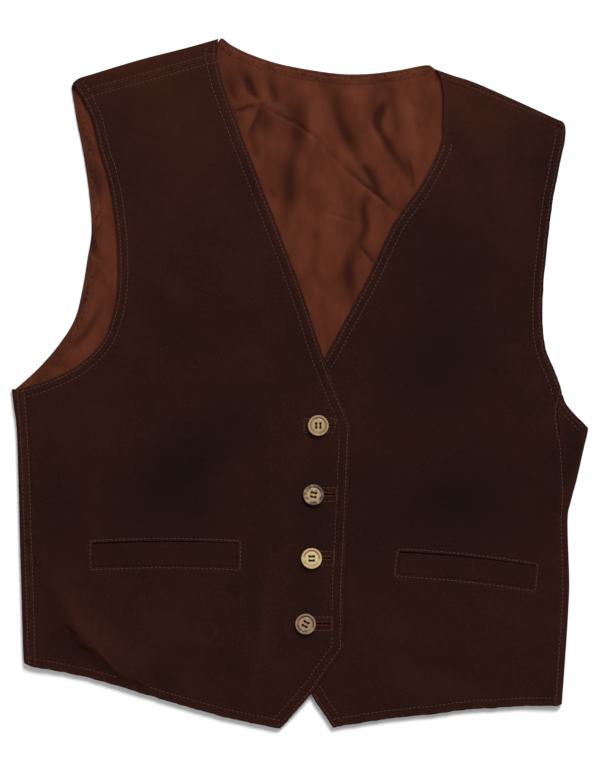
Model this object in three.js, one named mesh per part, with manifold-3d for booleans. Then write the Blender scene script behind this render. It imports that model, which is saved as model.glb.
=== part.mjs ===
// A woman's suede waistcoat with a satin-lined back, buttoned and laid flat on its back.
// Millimetres. +X is the viewer's right, +Y runs from hem to neck, +Z is up from the surface it lies on.
import * as THREE from "three";
import Module from "manifold-3d";
import { mergeVertices } from "three/addons/utils/BufferGeometryUtils.js";

const wasm = await Module();
wasm.setup();

// Wall thicknesses and the heights at which the layers lie.
const SUEDE = 1.4;
const LINING = 1.0;
const GAP = 0.3;
const LINING_BOTTOM = SUEDE + GAP;
const LINING_EASE = 0.6;
const FRONT_BOTTOM = LINING_BOTTOM + LINING + LINING_EASE;
const FOLD_RADIUS = 2.9;
const STRIP_BOTTOM = 2 * FOLD_RADIUS - SUEDE;
const FOLD_SEAT = 8;
const BACK_SEAT = 2;
const HEADROOM = 40;
const FRONT_STEP = 14;
const LINING_STEP = 16;

// How far the fronts rise, and over what width, near the edges of the garment.
const SEAM_RISE = { height: STRIP_BOTTOM - FRONT_BOTTOM, width: 30 };
const NECK_ROLL = { height: 1.5, width: 26 };
const ARMHOLE_ROLL = { height: 0.9, width: 22 };
const OVERLAP_LIFT = { height: SUEDE + 0.4, flat: 15, width: 18 };

// Fastening: four buttons, each with its thread shank through a cut buttonhole.
const BUTTON = { radius: 8.5, thickness: 3.2, rim: 1.9, dish: 1.1, holeRadius: 1.0, holeSpacing: 3.1 };
const SHANK_RADIUS = 1.2;
const BUTTON_FACETS = 32;
const ROD_FACETS = 10;
const BUTTONHOLE_WIDTH = 3.2;
const BUTTONS = [
  { x: 14.8, y: -35.1, turn: 90, holeEnd: 26.3 },
  { x: 11.0, y: -91.0, turn: 10, holeEnd: 27.5 },
  { x: 9.4, y: -142.4, turn: 0, holeEnd: 25.5 },
  { x: 4.5, y: -195.4, turn: 27, holeEnd: 23.5 },
];
const BUTTONHOLE_LENGTH = 22;

// Welt pockets: the window cut in each front, and the strip that fills it below the hand slit.
const SLIT = 1.6;
const WELT_SINK = 0.4;
const POCKETS = [
  { name: "right_pocket_welt", x: -108.9, y: -139.2, length: 117.5, height: 19.8, turn: 0 },
  { name: "left_pocket_welt", x: 134.7, y: -151.2, length: 110.5, height: 18.6, turn: -6.1 },
];

// The folded edges of the back: fold is the outermost line, seam is where it meets a front.
const LEFT_SIDE = [
  { fold: [-233.3, -5.7], seam: [-226.8, -5.7] },
  { fold: [-231.8, -18], seam: [-225.8, -18] },
  { fold: [-229.2, -39], seam: [-224.2, -39] },
  { fold: [-227.8, -79], seam: [-222.2, -79] },
  { fold: [-226.6, -128], seam: [-220.6, -128] },
  { fold: [-225.2, -177], seam: [-218.9, -177] },
  { fold: [-223.6, -226.8], seam: [-217.2, -226.8] },
];
const RIGHT_SIDE = [
  { fold: [212.2, -259.2], seam: [208.3, -259.2] },
  { fold: [215.1, -217], seam: [211.2, -217] },
  { fold: [217.1, -185], seam: [213.2, -185] },
  { fold: [217.9, -160], seam: [214.0, -160] },
  { fold: [216.6, -112], seam: [212.7, -112] },
  { fold: [219.5, -95.5], seam: [213.9, -95.5] },
  { fold: [224.4, -77], seam: [213.4, -77] },
  { fold: [229.9, -52.7], seam: [211.8, -52.7] },
  { fold: [233.3, -37], seam: [209.0, -37] },
];
const LEFT_SHOULDER = [
  { fold: [-66.2, 277.8], seam: [-67.2, 262.8] },
  { fold: [-90.7, 270.8], seam: [-87.5, 257.3] },
  { fold: [-129.6, 260.8], seam: [-125.6, 246.5] },
  { fold: [-168.5, 249.1], seam: [-164.4, 235.7] },
  { fold: [-183.9, 241.2], seam: [-172.9, 233.3] },
];
const RIGHT_SHOULDER = [
  { fold: [215.3, 206.6], seam: [211.2, 206.4] },
  { fold: [207.4, 213.8], seam: [204.1, 209.6] },
  { fold: [181.4, 225.6], seam: [178.2, 220.2] },
  { fold: [142.6, 242.4], seam: [139.4, 236.1] },
  { fold: [124, 248.6], seam: [122.6, 242.6] },
  { fold: [110.2, 252.8], seam: [114.2, 246.0] },
];
// The underarm corner of the back that lies in front of the right side seam.
const FLAP = [
  [211.1, -10.2], [214.4, -13.4], [217.9, -20.6], [223.6, -27.8], [229.4, -32.4],
  [229.4, -40], [209.6, -40], [209.3, -37.3], [208.6, -22],
];

// The cut pieces. Each edge runs on from the last point of the edge before it.
const RIGHT_FRONT = [
  {
    edge: "hem", smooth: true,
    points: [
      [-168.5, -239.8], [-116.6, -255.2], [-58.3, -271.8], [-16.2, -280.3],
    ],
  },
  { edge: "cutaway", smooth: false, points: [[8.9, -252.7], [35.2, -215.5]] },
  { edge: "centre", smooth: true, points: [[35.4, -170], [37.7, -120], [40.1, -63], [41.3, -34]] },
  {
    edge: "neck", smooth: true,
    points: [
      [21.5, 13], [3.2, 69], [-20.3, 131], [-44.6, 193.6], [-59.1, 232.5], [-65.6, 255],
      [-67.1, 262.5],
    ],
  },
  {
    edge: "shoulder", smooth: false,
    points: [
      [-87.5, 257], [-125.6, 246.2], [-164.4, 235.4], [-172.7, 233],
    ],
  },
  {
    edge: "armhole", smooth: true,
    points: [
      [-165.2, 210.6], [-160.4, 185.5], [-153.9, 160.4], [-149, 128], [-147, 95], [-149, 65],
      [-158, 36], [-175, 17], [-198, 4], [-226.5, -5.7],
    ],
  },
  {
    edge: "side", smooth: true,
    points: [
      [-224.0, -39], [-222.0, -79], [-220.4, -128], [-218.7, -177], [-217.2, -230],
    ],
  },
];
const LEFT_FRONT = [
  { edge: "cutaway", smooth: false, points: [[-12.2, -217.1], [8.9, -252.7], [26.7, -279.5]] },
  {
    edge: "hem", smooth: true,
    points: [
      [64.8, -273.4], [103.7, -268.9], [142.6, -264.5], [181.4, -262.4], [208.1, -261.6],
    ],
  },
  {
    edge: "side", smooth: true,
    points: [
      [211.0, -217], [213.0, -185], [213.8, -160], [212.5, -112], [213.7, -95.5], [213.2, -77],
      [211.6, -52.7], [208.8, -37], [208.0, -22], [210.6, -8.9],
    ],
  },
  {
    edge: "armhole", smooth: true,
    points: [
      [205.7, 8.1], [198.5, 27.5], [196.3, 47], [196.4, 71.3], [198.9, 100.4], [204.1, 144.2],
      [212.2, 183.1], [214.4, 200], [211.2, 206.1],
    ],
  },
  {
    edge: "shoulder", smooth: false,
    points: [
      [204.1, 209.3], [178.2, 219.9], [139.4, 235.8], [114.2, 245.6],
    ],
  },
  {
    edge: "neck", smooth: true,
    points: [
      [116.2, 230], [115.4, 210.6], [113.8, 192.8], [99.2, 162], [76.1, 128.8], [56.3, 87.5],
      [25.5, 30], [-9.7, -34],
    ],
  },
  { edge: "centre", smooth: true, points: [[-11.3, -95.6], [-13, -176.6], [-12.2, -217.1]] },
];
const BACK_HEM = [[-218, -226.8], [0, -241.5], [200, -258.4]];
const BACK_RIGHT_ARMHOLE = [
  [215.5, -17.8], [204.9, 1.6], [195.2, 30], [192.8, 66.4], [196, 115], [203.3, 155.5],
  [210.6, 196],
];
const BACK_NECK = [
  [105, 255.6], [101.3, 256.6], [77.8, 252.2], [51.8, 249.4], [25.9, 250.2],
  [-13, 256.8], [-38.9, 264.9], [-55, 272.6],
];
const BACK_LEFT_ARMHOLE = [
  [-180.6, 212], [-175, 183], [-170.6, 152], [-168.7, 123], [-172, 100], [-176, 76], [-182, 52],
  [-194, 32], [-211, 12],
];
const FAR = 400;
const LINING_HEM = [[-FAR, -205], [FAR, -236]];
const LINING_SEAT = 0.5;
const LINING_INSET = 1.2;

// Soft folds, each from one point to another: height at its crest, and half-width to its left and right.
const FRONT_FOLDS = [
  { from: [-204, -160], to: [-178, -204], height: 2.0, left: 26, right: 15 },
  { from: [-174, -209], to: [-138, -238], height: 2.6, left: 26, right: 14 },
  { from: [-126, 100], to: [-88, 40], height: 0.9, left: 24, right: 24 },
  { from: [-60, -190], to: [-34, -246], height: 0.8, left: 18, right: 22 },
  { from: [128, 222], to: [164, 130], height: 1.3, left: 18, right: 20 },
  { from: [148, 40], to: [196, -36], height: 1.0, left: 20, right: 18 },
  { from: [70, -205], to: [168, -238], height: 0.9, left: 22, right: 18 },
];
const LINING_FOLDS = [
  { from: [-40, 252], to: [-34, 226], height: 1.2, left: 12, right: 12 },
  { from: [-30, 224], to: [6, 196], height: 1.0, left: 12, right: 14 },
  { from: [8, 230], to: [10, 160], height: 1.4, left: 14, right: 14 },
  { from: [44, 226], to: [52, 176], height: 1.3, left: 13, right: 15 },
  { from: [70, 222], to: [62, 150], height: 1.3, left: 14, right: 14 },
  { from: [90, 214], to: [92, 176], height: 1.0, left: 12, right: 14 },
  { from: [30, 130], to: [36, 74], height: 1.2, left: 14, right: 14 },
];

// Distances and smooth steps.

// 1 at no distance, falling smoothly to 0 at the given width.
function fade(distance, width) {
  const t = Math.min(Math.max(1 - distance / width, 0), 1);
  return t * t * (3 - 2 * t);
}

// The distance from a point to a segment, and on which side of it the point lies.
function toSegment([x, y], [ax, ay], [bx, by]) {
  const dx = bx - ax;
  const dy = by - ay;
  const t = Math.min(Math.max(((x - ax) * dx + (y - ay) * dy) / (dx * dx + dy * dy), 0), 1);
  const side = dx * (y - ay) - dy * (x - ax);
  return { distance: Math.hypot(x - ax - t * dx, y - ay - t * dy), side, t };
}

function toLine(point, line) {
  return Math.min(...line.slice(1).map((end, i) => toSegment(point, line[i], end).distance));
}

function foldHeight(point, folds) {
  return folds.reduce((sum, { from, to, height, left, right }) => {
    const { distance, side } = toSegment(point, from, to);
    return sum + height * fade(distance, side > 0 ? left : right);
  }, 0);
}

function edgePoints(piece, name) {
  const at = piece.findIndex(({ edge }) => edge === name);
  const before = piece[(at + piece.length - 1) % piece.length].points.at(-1);
  return [before, ...piece[at].points];
}

// The heights of the layers over the plane.

const rightNeck = edgePoints(RIGHT_FRONT, "neck").filter(([, y]) => y > 20);
const leftNeck = edgePoints(LEFT_FRONT, "neck").filter(([, y]) => y > 20);
const leftFrontEdge = [
  [25.5, 30],
  ...edgePoints(LEFT_FRONT, "centre"),
  ...edgePoints(LEFT_FRONT, "cutaway").slice(1),
];
const FOLDED_EDGES = [LEFT_SIDE, RIGHT_SIDE, LEFT_SHOULDER, RIGHT_SHOULDER];
const SEAMS = FOLDED_EDGES.map((stations) => stations.map(({ seam }) => seam));
const ARMHOLES = [RIGHT_FRONT, LEFT_FRONT].map((piece) => edgePoints(piece, "armhole"));
const BLEND = 4;

// The underside of both fronts, before one laps over the other.
function frontGround(point) {
  const fromNeck = Math.min(toLine(point, rightNeck), toLine(point, leftNeck));
  const rises = [
    ...SEAMS.map((line) => SEAM_RISE.height * fade(toLine(point, line), SEAM_RISE.width)),
    ...ARMHOLES.map((line) => ARMHOLE_ROLL.height * fade(toLine(point, line), ARMHOLE_ROLL.width)),
    NECK_ROLL.height * fade(fromNeck, NECK_ROLL.width),
  ];
  const rise = rises.reduce((sum, r) => sum + r ** BLEND, 0) ** (1 / BLEND);
  return FRONT_BOTTOM + rise + foldHeight(point, FRONT_FOLDS);
}

// The right front rises where it laps over the left one.
function rightFrontBottom(point) {
  const nearest = leftFrontEdge
    .slice(1)
    .map((end, i) => toSegment(point, leftFrontEdge[i], end))
    .reduce((best, found) => (found.distance < best.distance ? found : best));
  const outside = nearest.side > 0 ? 0 : nearest.distance;
  const lift = OVERLAP_LIFT.height * fade(outside - OVERLAP_LIFT.flat, OVERLAP_LIFT.width);
  return frontGround(point) + lift;
}

function liningTop(point) {
  return LINING_BOTTOM + LINING + foldHeight(point, LINING_FOLDS);
}

// Solids.

function toSolid(geometry) {
  const bare = geometry.clone();
  bare.deleteAttribute("normal");
  bare.deleteAttribute("uv");
  const merged = mergeVertices(bare, 1e-4);
  return new wasm.Manifold(
    new wasm.Mesh({
      numProp: 3,
      vertProperties: new Float32Array(merged.attributes.position.array),
      triVerts: new Uint32Array(merged.index.array),
    }),
  );
}

function toGeometry(solid) {
  const mesh = solid.getMesh();
  const geometry = new THREE.BufferGeometry();
  const positions = new Float32Array(mesh.vertProperties);
  geometry.setAttribute("position", new THREE.BufferAttribute(positions, 3));
  geometry.setIndex(new THREE.BufferAttribute(new Uint32Array(mesh.triVerts), 1));
  return geometry;
}

function vectors(points) {
  return points.map(([x, y]) => new THREE.Vector2(x, y));
}

// The closed outline of a cut piece.
function outline(piece) {
  const shape = new THREE.Shape();
  shape.moveTo(...piece.at(-1).points.at(-1));
  for (const { smooth, points } of piece) {
    if (smooth) shape.splineThru(vectors(points));
    else points.forEach(([x, y]) => shape.lineTo(x, y));
  }
  return shape;
}

function prism(shape, bottom, top, curveSegments = 3) {
  const options = { depth: top - bottom, bevelEnabled: false, curveSegments };
  const geometry = new THREE.ExtrudeGeometry(shape, options);
  return toSolid(geometry.translate(0, 0, bottom));
}

// A closed slab over a rectangle of the plane, with a height function for its underside and its top.
function slab(shape, bottomAt, topAt, step) {
  const box = new THREE.Box2().setFromPoints(shape.getPoints());
  const low = [Math.floor(box.min.x / step) - 1, Math.floor(box.min.y / step) - 1];
  const high = [Math.ceil(box.max.x / step) + 1, Math.ceil(box.max.y / step) + 1];
  const columns = high[0] - low[0] + 1;
  const rows = high[1] - low[1] + 1;
  const layer = columns * rows;
  const positions = [];
  for (const heightAt of [bottomAt, topAt]) {
    for (let j = 0; j < rows; j++) {
      for (let i = 0; i < columns; i++) {
        const point = [(low[0] + i) * step, (low[1] + j) * step];
        positions.push(...point, heightAt(point));
      }
    }
  }
  const index = [];
  const quad = (a, b, c, d) => index.push(a, b, c, a, c, d);
  const at = (i, j) => j * columns + i;
  for (let j = 0; j < rows - 1; j++) {
    for (let i = 0; i < columns - 1; i++) {
      quad(at(i, j), at(i, j + 1), at(i + 1, j + 1), at(i + 1, j));
      quad(layer + at(i, j), layer + at(i + 1, j), layer + at(i + 1, j + 1), layer + at(i, j + 1));
    }
  }
  const side = (from, to) => quad(from, to, layer + to, layer + from);
  for (let i = 0; i < columns - 1; i++) {
    side(at(i, 0), at(i + 1, 0));
    side(at(i + 1, rows - 1), at(i, rows - 1));
  }
  for (let j = 0; j < rows - 1; j++) {
    side(at(0, j + 1), at(0, j));
    side(at(columns - 1, j), at(columns - 1, j + 1));
  }
  const geometry = new THREE.BufferGeometry();
  geometry.setAttribute("position", new THREE.Float32BufferAttribute(positions, 3));
  geometry.setIndex(index);
  return toSolid(geometry);
}

// A cut piece of cloth laid over the height function.
function laidPanel(shape, bottomAt, topAt, step = FRONT_STEP) {
  return slab(shape, bottomAt, topAt, step).intersect(prism(shape, -HEADROOM, HEADROOM));
}

const arcCentre = ({ fold, seam }) => {
  const reach = Math.hypot(seam[0] - fold[0], seam[1] - fold[1]);
  return fold.map((value, axis) => value + (FOLD_RADIUS / reach) * (seam[axis] - value));
};

// An edge of the back that is folded over, with a C section from the floor to the seam at each station.
function foldedEdge(stations) {
  const bends = 6;
  const rings = stations.map((station) => {
    const { fold, seam } = station;
    const centre = arcCentre(station);
    const reach = Math.hypot(seam[0] - centre[0], seam[1] - centre[1]);
    const whole = Math.hypot(seam[0] - fold[0], seam[1] - fold[1]);
    const inward = fold.map((value, axis) => (seam[axis] - value) / whole);
    const strip = Math.max(reach - GAP, GAP);
    const arc = (radius, from, to) =>
      Array.from({ length: bends + 1 }, (_, i) => {
        const angle = from + ((to - from) * i) / bends;
        return [-radius * Math.sin(angle), FOLD_RADIUS - radius * Math.cos(angle)];
      });
    const section = [
      [FOLD_SEAT, 0],
      ...arc(FOLD_RADIUS, 0, Math.PI),
      [strip, 2 * FOLD_RADIUS],
      [strip, STRIP_BOTTOM],
      ...arc(FOLD_RADIUS - SUEDE, Math.PI, 0),
      [FOLD_SEAT, SUEDE],
    ];
    return section.map(([along, height]) => {
      const [x, y] = centre.map((value, axis) => value + inward[axis] * along);
      return [x, y, height];
    });
  });
  const size = rings[0].length;
  const index = [];
  for (let r = 0; r < rings.length - 1; r++) {
    for (let k = 0; k < size; k++) {
      const next = (k + 1) % size;
      const [a, b, c, d] = [r * size + k, r * size + next, (r + 1) * size + next, (r + 1) * size + k];
      index.push(a, c, b, a, d, c);
    }
  }
  // The ends are strips between the outer and the inner half of the section.
  const last = (rings.length - 1) * size;
  for (let k = 0; k < size / 2 - 1; k++) {
    const [a, b, c, d] = [k, k + 1, size - 2 - k, size - 1 - k];
    index.push(a, b, c, a, c, d);
    index.push(last + a, last + c, last + b, last + a, last + d, last + c);
  }
  const geometry = new THREE.BufferGeometry();
  geometry.setAttribute("position", new THREE.Float32BufferAttribute(rings.flat(2), 3));
  geometry.setIndex(index);
  return toSolid(geometry);
}

// The line just inside a folded edge, where the flat of the back takes over.
function seatLine(stations, inset) {
  return stations.map((station) => {
    const centre = arcCentre(station);
    const { fold, seam } = station;
    const whole = Math.hypot(seam[0] - fold[0], seam[1] - fold[1]);
    return centre.map((value, axis) => value + (inset * (seam[axis] - fold[axis])) / whole);
  });
}

function backOutline(inset) {
  return outline([
    { smooth: false, points: [...BACK_HEM, ...seatLine(RIGHT_SIDE, inset)] },
    { smooth: true, points: BACK_RIGHT_ARMHOLE },
    { smooth: false, points: seatLine(RIGHT_SHOULDER, inset) },
    { smooth: true, points: BACK_NECK },
    { smooth: false, points: seatLine(LEFT_SHOULDER, inset) },
    { smooth: true, points: BACK_LEFT_ARMHOLE },
    { smooth: false, points: seatLine(LEFT_SIDE, inset) },
  ]);
}

// Moves every point of a closed outline inward along the bisector of its two neighbours.
function insetShape(shape, inset) {
  const points = shape.getPoints(3).filter((p, i, all) => p.distanceTo(all[(i + 1) % all.length]) > 0.5);
  const count = points.length;
  return new THREE.Shape(
    points.map((p, i) => {
      const along = points[(i + 1) % count].clone().sub(points[(i + count - 1) % count]).normalize();
      return new THREE.Vector2(p.x - along.y * inset, p.y + along.x * inset);
    }),
  );
}

function makeBack() {
  const flap = prism(new THREE.Shape(vectors(FLAP)), STRIP_BOTTOM, 2 * FOLD_RADIUS);
  return FOLDED_EDGES.map(foldedEdge)
    .reduce((whole, edge) => whole.add(edge), prism(backOutline(BACK_SEAT), 0, SUEDE))
    .add(flap);
}

function makeLining() {
  const aboveHem = new THREE.Shape(vectors([...LINING_HEM, [FAR, FAR], [-FAR, FAR]]));
  const shape = insetShape(backOutline(LINING_SEAT), LINING_INSET);
  const cloth = laidPanel(shape, () => LINING_BOTTOM, liningTop, LINING_STEP);
  return cloth.intersect(prism(aboveHem, 0, HEADROOM));
}

// A rectangle in the plane about a centre, turned by degrees.
function turnedRectangle({ x, y, turn }, [left, bottom], [right, top]) {
  const angle = THREE.MathUtils.degToRad(turn);
  const centre = new THREE.Vector2(x, y);
  const corners = vectors([[left, bottom], [right, bottom], [right, top], [left, top]]);
  const turned = corners.map((corner) => corner.rotateAround(new THREE.Vector2(), angle).add(centre));
  return new THREE.Shape(turned);
}

function pocketWindow(pocket) {
  const half = [pocket.length / 2, pocket.height / 2];
  return prism(turnedRectangle(pocket, [-half[0], -half[1]], half), -HEADROOM, HEADROOM);
}

function makeWelt(pocket) {
  const half = [pocket.length / 2 - GAP, pocket.height / 2];
  const shape = turnedRectangle(pocket, [-half[0], -half[1] + GAP], [half[0], half[1] - SLIT]);
  const frontBottom = pocket.x < 0 ? rightFrontBottom : frontGround;
  const bottomAt = (point) => frontBottom(point) - WELT_SINK;
  return laidPanel(shape, bottomAt, (point) => bottomAt(point) + SUEDE);
}

function buttonhole({ y, holeEnd }) {
  const radius = BUTTONHOLE_WIDTH / 2;
  const shape = new THREE.Shape();
  shape.absarc(holeEnd - radius, y, radius, -Math.PI / 2, Math.PI / 2, false);
  shape.absarc(holeEnd - BUTTONHOLE_LENGTH + radius, y, radius, Math.PI / 2, (3 * Math.PI) / 2, false);
  return prism(shape, 0, HEADROOM, 4);
}

function makeRightFront() {
  const cuts = [pocketWindow(POCKETS[0]), ...BUTTONS.map(buttonhole)];
  const cloth = laidPanel(outline(RIGHT_FRONT), rightFrontBottom, (p) => rightFrontBottom(p) + SUEDE);
  return cuts.reduce((solid, cut) => solid.subtract(cut), cloth);
}

function makeLeftFront() {
  const cloth = laidPanel(outline(LEFT_FRONT), frontGround, (p) => frontGround(p) + SUEDE);
  return cloth.subtract(pocketWindow(POCKETS[1]));
}

// An upright rod about the origin.
function rod(radius, height) {
  return toSolid(new THREE.CylinderGeometry(radius, radius, height, ROD_FACETS).rotateX(Math.PI / 2));
}

// A turned button with a raised rim, a shallow dish and four sewing holes.
function makeButton() {
  const { radius, thickness, rim, dish, holeRadius, holeSpacing } = BUTTON;
  const chamfer = 0.5;
  const profile = vectors([
    [0, 0],
    [radius - 3 * chamfer, 0],
    [radius, 3 * chamfer],
    [radius, thickness - chamfer],
    [radius - chamfer, thickness],
    [radius - rim, thickness],
    [radius - rim - dish, thickness - dish],
    [0, thickness - dish],
  ]);
  const body = toSolid(new THREE.LatheGeometry(profile, BUTTON_FACETS).rotateX(Math.PI / 2));
  const offsets = [-holeSpacing / 2, holeSpacing / 2];
  return offsets
    .flatMap((x) => offsets.map((y) => [x, y]))
    .reduce((solid, [x, y]) => solid.subtract(rod(holeRadius, 4 * thickness).translate(x, y, 0)), body);
}

const suede = { color: 0x2b1815, roughness: 0.95, metalness: 0 };
const satin = { color: 0x5a2e21, roughness: 0.45, metalness: 0 };
const horn = { color: 0xb79c74, roughness: 0.35, metalness: 0 };
const thread = { color: 0x5b3d31, roughness: 0.8, metalness: 0 };

function piece(name, solid, finish) {
  const mesh = new THREE.Mesh(toGeometry(solid), new THREE.MeshStandardMaterial(finish));
  mesh.name = name;
  return mesh;
}

const waistcoat = new THREE.Group();
waistcoat.add(
  piece("back", makeBack(), suede),
  piece("back_lining", makeLining(), satin),
  piece("left_front", makeLeftFront(), suede),
  piece("right_front", makeRightFront(), suede),
  ...POCKETS.map((pocket) => piece(pocket.name, makeWelt(pocket), suede)),
);

const buttonSolid = makeButton();
BUTTONS.forEach(({ x, y, turn }, i) => {
  const clothTop = rightFrontBottom([x, y]) + SUEDE;
  const button = piece(`button_${i + 1}`, buttonSolid, horn);
  button.position.set(x, y, clothTop + GAP);
  button.rotation.z = THREE.MathUtils.degToRad(turn);
  const shankBottom = frontGround([x, y]) + SUEDE + GAP;
  const shankHeight = clothTop - shankBottom;
  const shank = piece(`button_shank_${i + 1}`, rod(SHANK_RADIUS, shankHeight), thread);
  shank.position.set(x, y, shankBottom + shankHeight / 2);
  waistcoat.add(button, shank);
});

// The origin is under the middle of the garment's box.
const box = new THREE.Box3().setFromObject(waistcoat);
const middle = box.getCenter(new THREE.Vector3());
waistcoat.position.set(-middle.x, -middle.y, -box.min.z);

export default waistcoat;
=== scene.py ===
"""A woman's suede waistcoat, buttoned and laid flat on its back: its cloth, sewing, buttons and studio.

Lengths are millimetres in the frame of part.mjs until a mesh is made, and metres from there on.
"""

import logging
import math
from collections.abc import Callable, Sequence
from dataclasses import dataclass, field
from enum import Enum

import bmesh
import bpy
import numpy as np
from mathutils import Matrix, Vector, noise
from mathutils.geometry import delaunay_2d_cdt


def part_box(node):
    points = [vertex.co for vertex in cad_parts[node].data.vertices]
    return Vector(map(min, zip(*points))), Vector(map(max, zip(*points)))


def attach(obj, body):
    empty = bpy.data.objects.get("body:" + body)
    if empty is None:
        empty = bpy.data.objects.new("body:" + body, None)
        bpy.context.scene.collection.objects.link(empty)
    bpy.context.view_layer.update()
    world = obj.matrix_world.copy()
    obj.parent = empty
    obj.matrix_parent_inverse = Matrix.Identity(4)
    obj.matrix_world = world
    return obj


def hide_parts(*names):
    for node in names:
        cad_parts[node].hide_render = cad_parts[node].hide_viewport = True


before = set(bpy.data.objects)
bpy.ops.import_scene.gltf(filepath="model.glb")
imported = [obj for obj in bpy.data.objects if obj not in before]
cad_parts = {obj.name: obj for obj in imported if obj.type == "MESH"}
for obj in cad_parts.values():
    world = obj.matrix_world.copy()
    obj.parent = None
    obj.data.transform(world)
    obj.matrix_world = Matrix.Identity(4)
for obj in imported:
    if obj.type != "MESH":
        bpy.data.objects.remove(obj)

LOG = logging.getLogger("waistcoat")
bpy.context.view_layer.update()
ROOT = "root"
MM = 0.001

# Where the part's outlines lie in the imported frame, whose origin is under the middle of its box.
ORIGIN = (0.0, 1.25)

# Walls and levels of the cloth, as the solids have them.
SUEDE_WALL = 1.4
LINING_WALL = 1.0
LINING_BOTTOM = 1.7
FRONT_BOTTOM = 3.3
FOLD_RADIUS = 2.9
STRIP_TOP = 2 * FOLD_RADIUS
STRIP_BOTTOM = STRIP_TOP - SUEDE_WALL
SEAM_GAP = -0.24

# How far the fronts rise near their edges, and over what width.
SEAM_RISE = (STRIP_BOTTOM - FRONT_BOTTOM, 30.0)
NECK_ROLL = (1.5, 26.0)
ARMHOLE_ROLL = (0.9, 22.0)
OVERLAP_LIFT = (SUEDE_WALL + 0.4, 15.0, 18.0)
RISE_BLEND = 4
NECK_LOWEST = 20.0

# Sewing: how far each row of stitches lies inside its edge.
EDGE_ROWS = (2.6, 9.2)
ARMHOLE_ROWS = (2.4, 7.8)
HEM_ROWS = (6.6,)
SEAM_ROWS = (3.2,)
NEAR_SEAM_ROWS = (1.4,)
LINING_ROWS = (2.3, 8.3)
SEAM_EASE = 0.32

# How far cloth sinks along a row of stitches and is puffed up between two, and over what width.
ROW_DIP = (0.42, 0.8)
ROW_PUFF = (0.28, 2.4)

# How far a welt stays off the sides and the bottom of its window.
WELT_GAP = 0.03

# What the bends and the folded strips add to the width and the length of the back.
FOLDED_EXTRA = (45.0, 25.0)

# Meshing: the rings of points round a hole, and how far other points keep away.
HOLE_RINGS = (0.25, 0.6, 1.1, 1.8, 2.8)
HOLE_CLEARANCE = 3.6
LINE_CLEARANCE = 0.9
RIM_CLEARANCE = 1.5
RING_SLACK = 0.05
ROW_SLACK = 0.08
ON_RIM = 1e-3
NO_HOLE = 99.0
UNWORN = 3.0
TINY = 1e-9

Point = tuple[float, float]
Array = np.ndarray
Height = Callable[[Array], Array]


# Curves and distances in the plane.


def spline(points: Sequence[Sequence[float]], step: float) -> Array:
    """Run a smooth curve through points, with a point about every step.

    Args:
        points: The points that the curve passes through, of any number of columns.
        step: The distance between the points that are returned.

    Returns:
        The curve's points, one row each, with both ends.
    """
    knots = np.array(points, dtype=float)
    last = len(knots) - 1
    rows = []
    for i in range(last):
        p0, p1, p2, p3 = (knots[min(max(i + k, 0), last)] for k in (-1, 0, 1, 2))
        count = max(1, math.ceil(np.linalg.norm((p2 - p1)[:2]) / step))
        t = (np.arange(count) / count)[:, None]
        v1, v2 = (p2 - p0) / 2, (p3 - p1) / 2
        cubic = 2 * p1 - 2 * p2 + v1 + v2
        square = 3 * p2 - 3 * p1 - 2 * v1 - v2
        rows.append(cubic * t**3 + square * t**2 + v1 * t + p1)
    return np.vstack([*rows, knots[-1:]])


def straight(points: Sequence[Sequence[float]], step: float) -> Array:
    """Run a line with corners through points, with a point about every step.

    Args:
        points: The corners.
        step: The distance between the points that are returned.

    Returns:
        The line's points, one row each, with both ends.
    """
    knots = np.array(points, dtype=float)
    rows = []
    for a, b in zip(knots, knots[1:]):
        count = max(1, math.ceil(np.linalg.norm((b - a)[:2]) / step))
        rows.append(a + (b - a) * (np.arange(count) / count)[:, None])
    return np.vstack([*rows, knots[-1:]])


def fade(distance: Array, width: float) -> Array:
    """Fall smoothly from 1 at no distance to 0 at the width."""
    t = np.clip(1 - distance / width, 0, 1)
    return t * t * (3 - 2 * t)


@dataclass(frozen=True)
class Nearest:
    """The nearest stretch of a line to each of many points.

    Args:
        distance: How far off the line each point is.
        side: Above 0 where the point lies to the left of the line's run.
        segment: Which stretch of the line is nearest.
        travel: How far along the line that place is, from 0 to 1.
    """

    distance: Array
    side: Array
    segment: Array
    travel: Array


def tiles(xy: Array, size: float = 22.0) -> list[Array]:
    """Sort points into square tiles of the plane, and give each tile's row numbers."""
    cells = np.floor(xy / size).astype(int)
    order = np.lexsort(cells.T)
    breaks = np.flatnonzero(np.any(np.diff(cells[order], axis=0), axis=1)) + 1
    return [rows for rows in np.split(order, breaks) if len(rows)]


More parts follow.
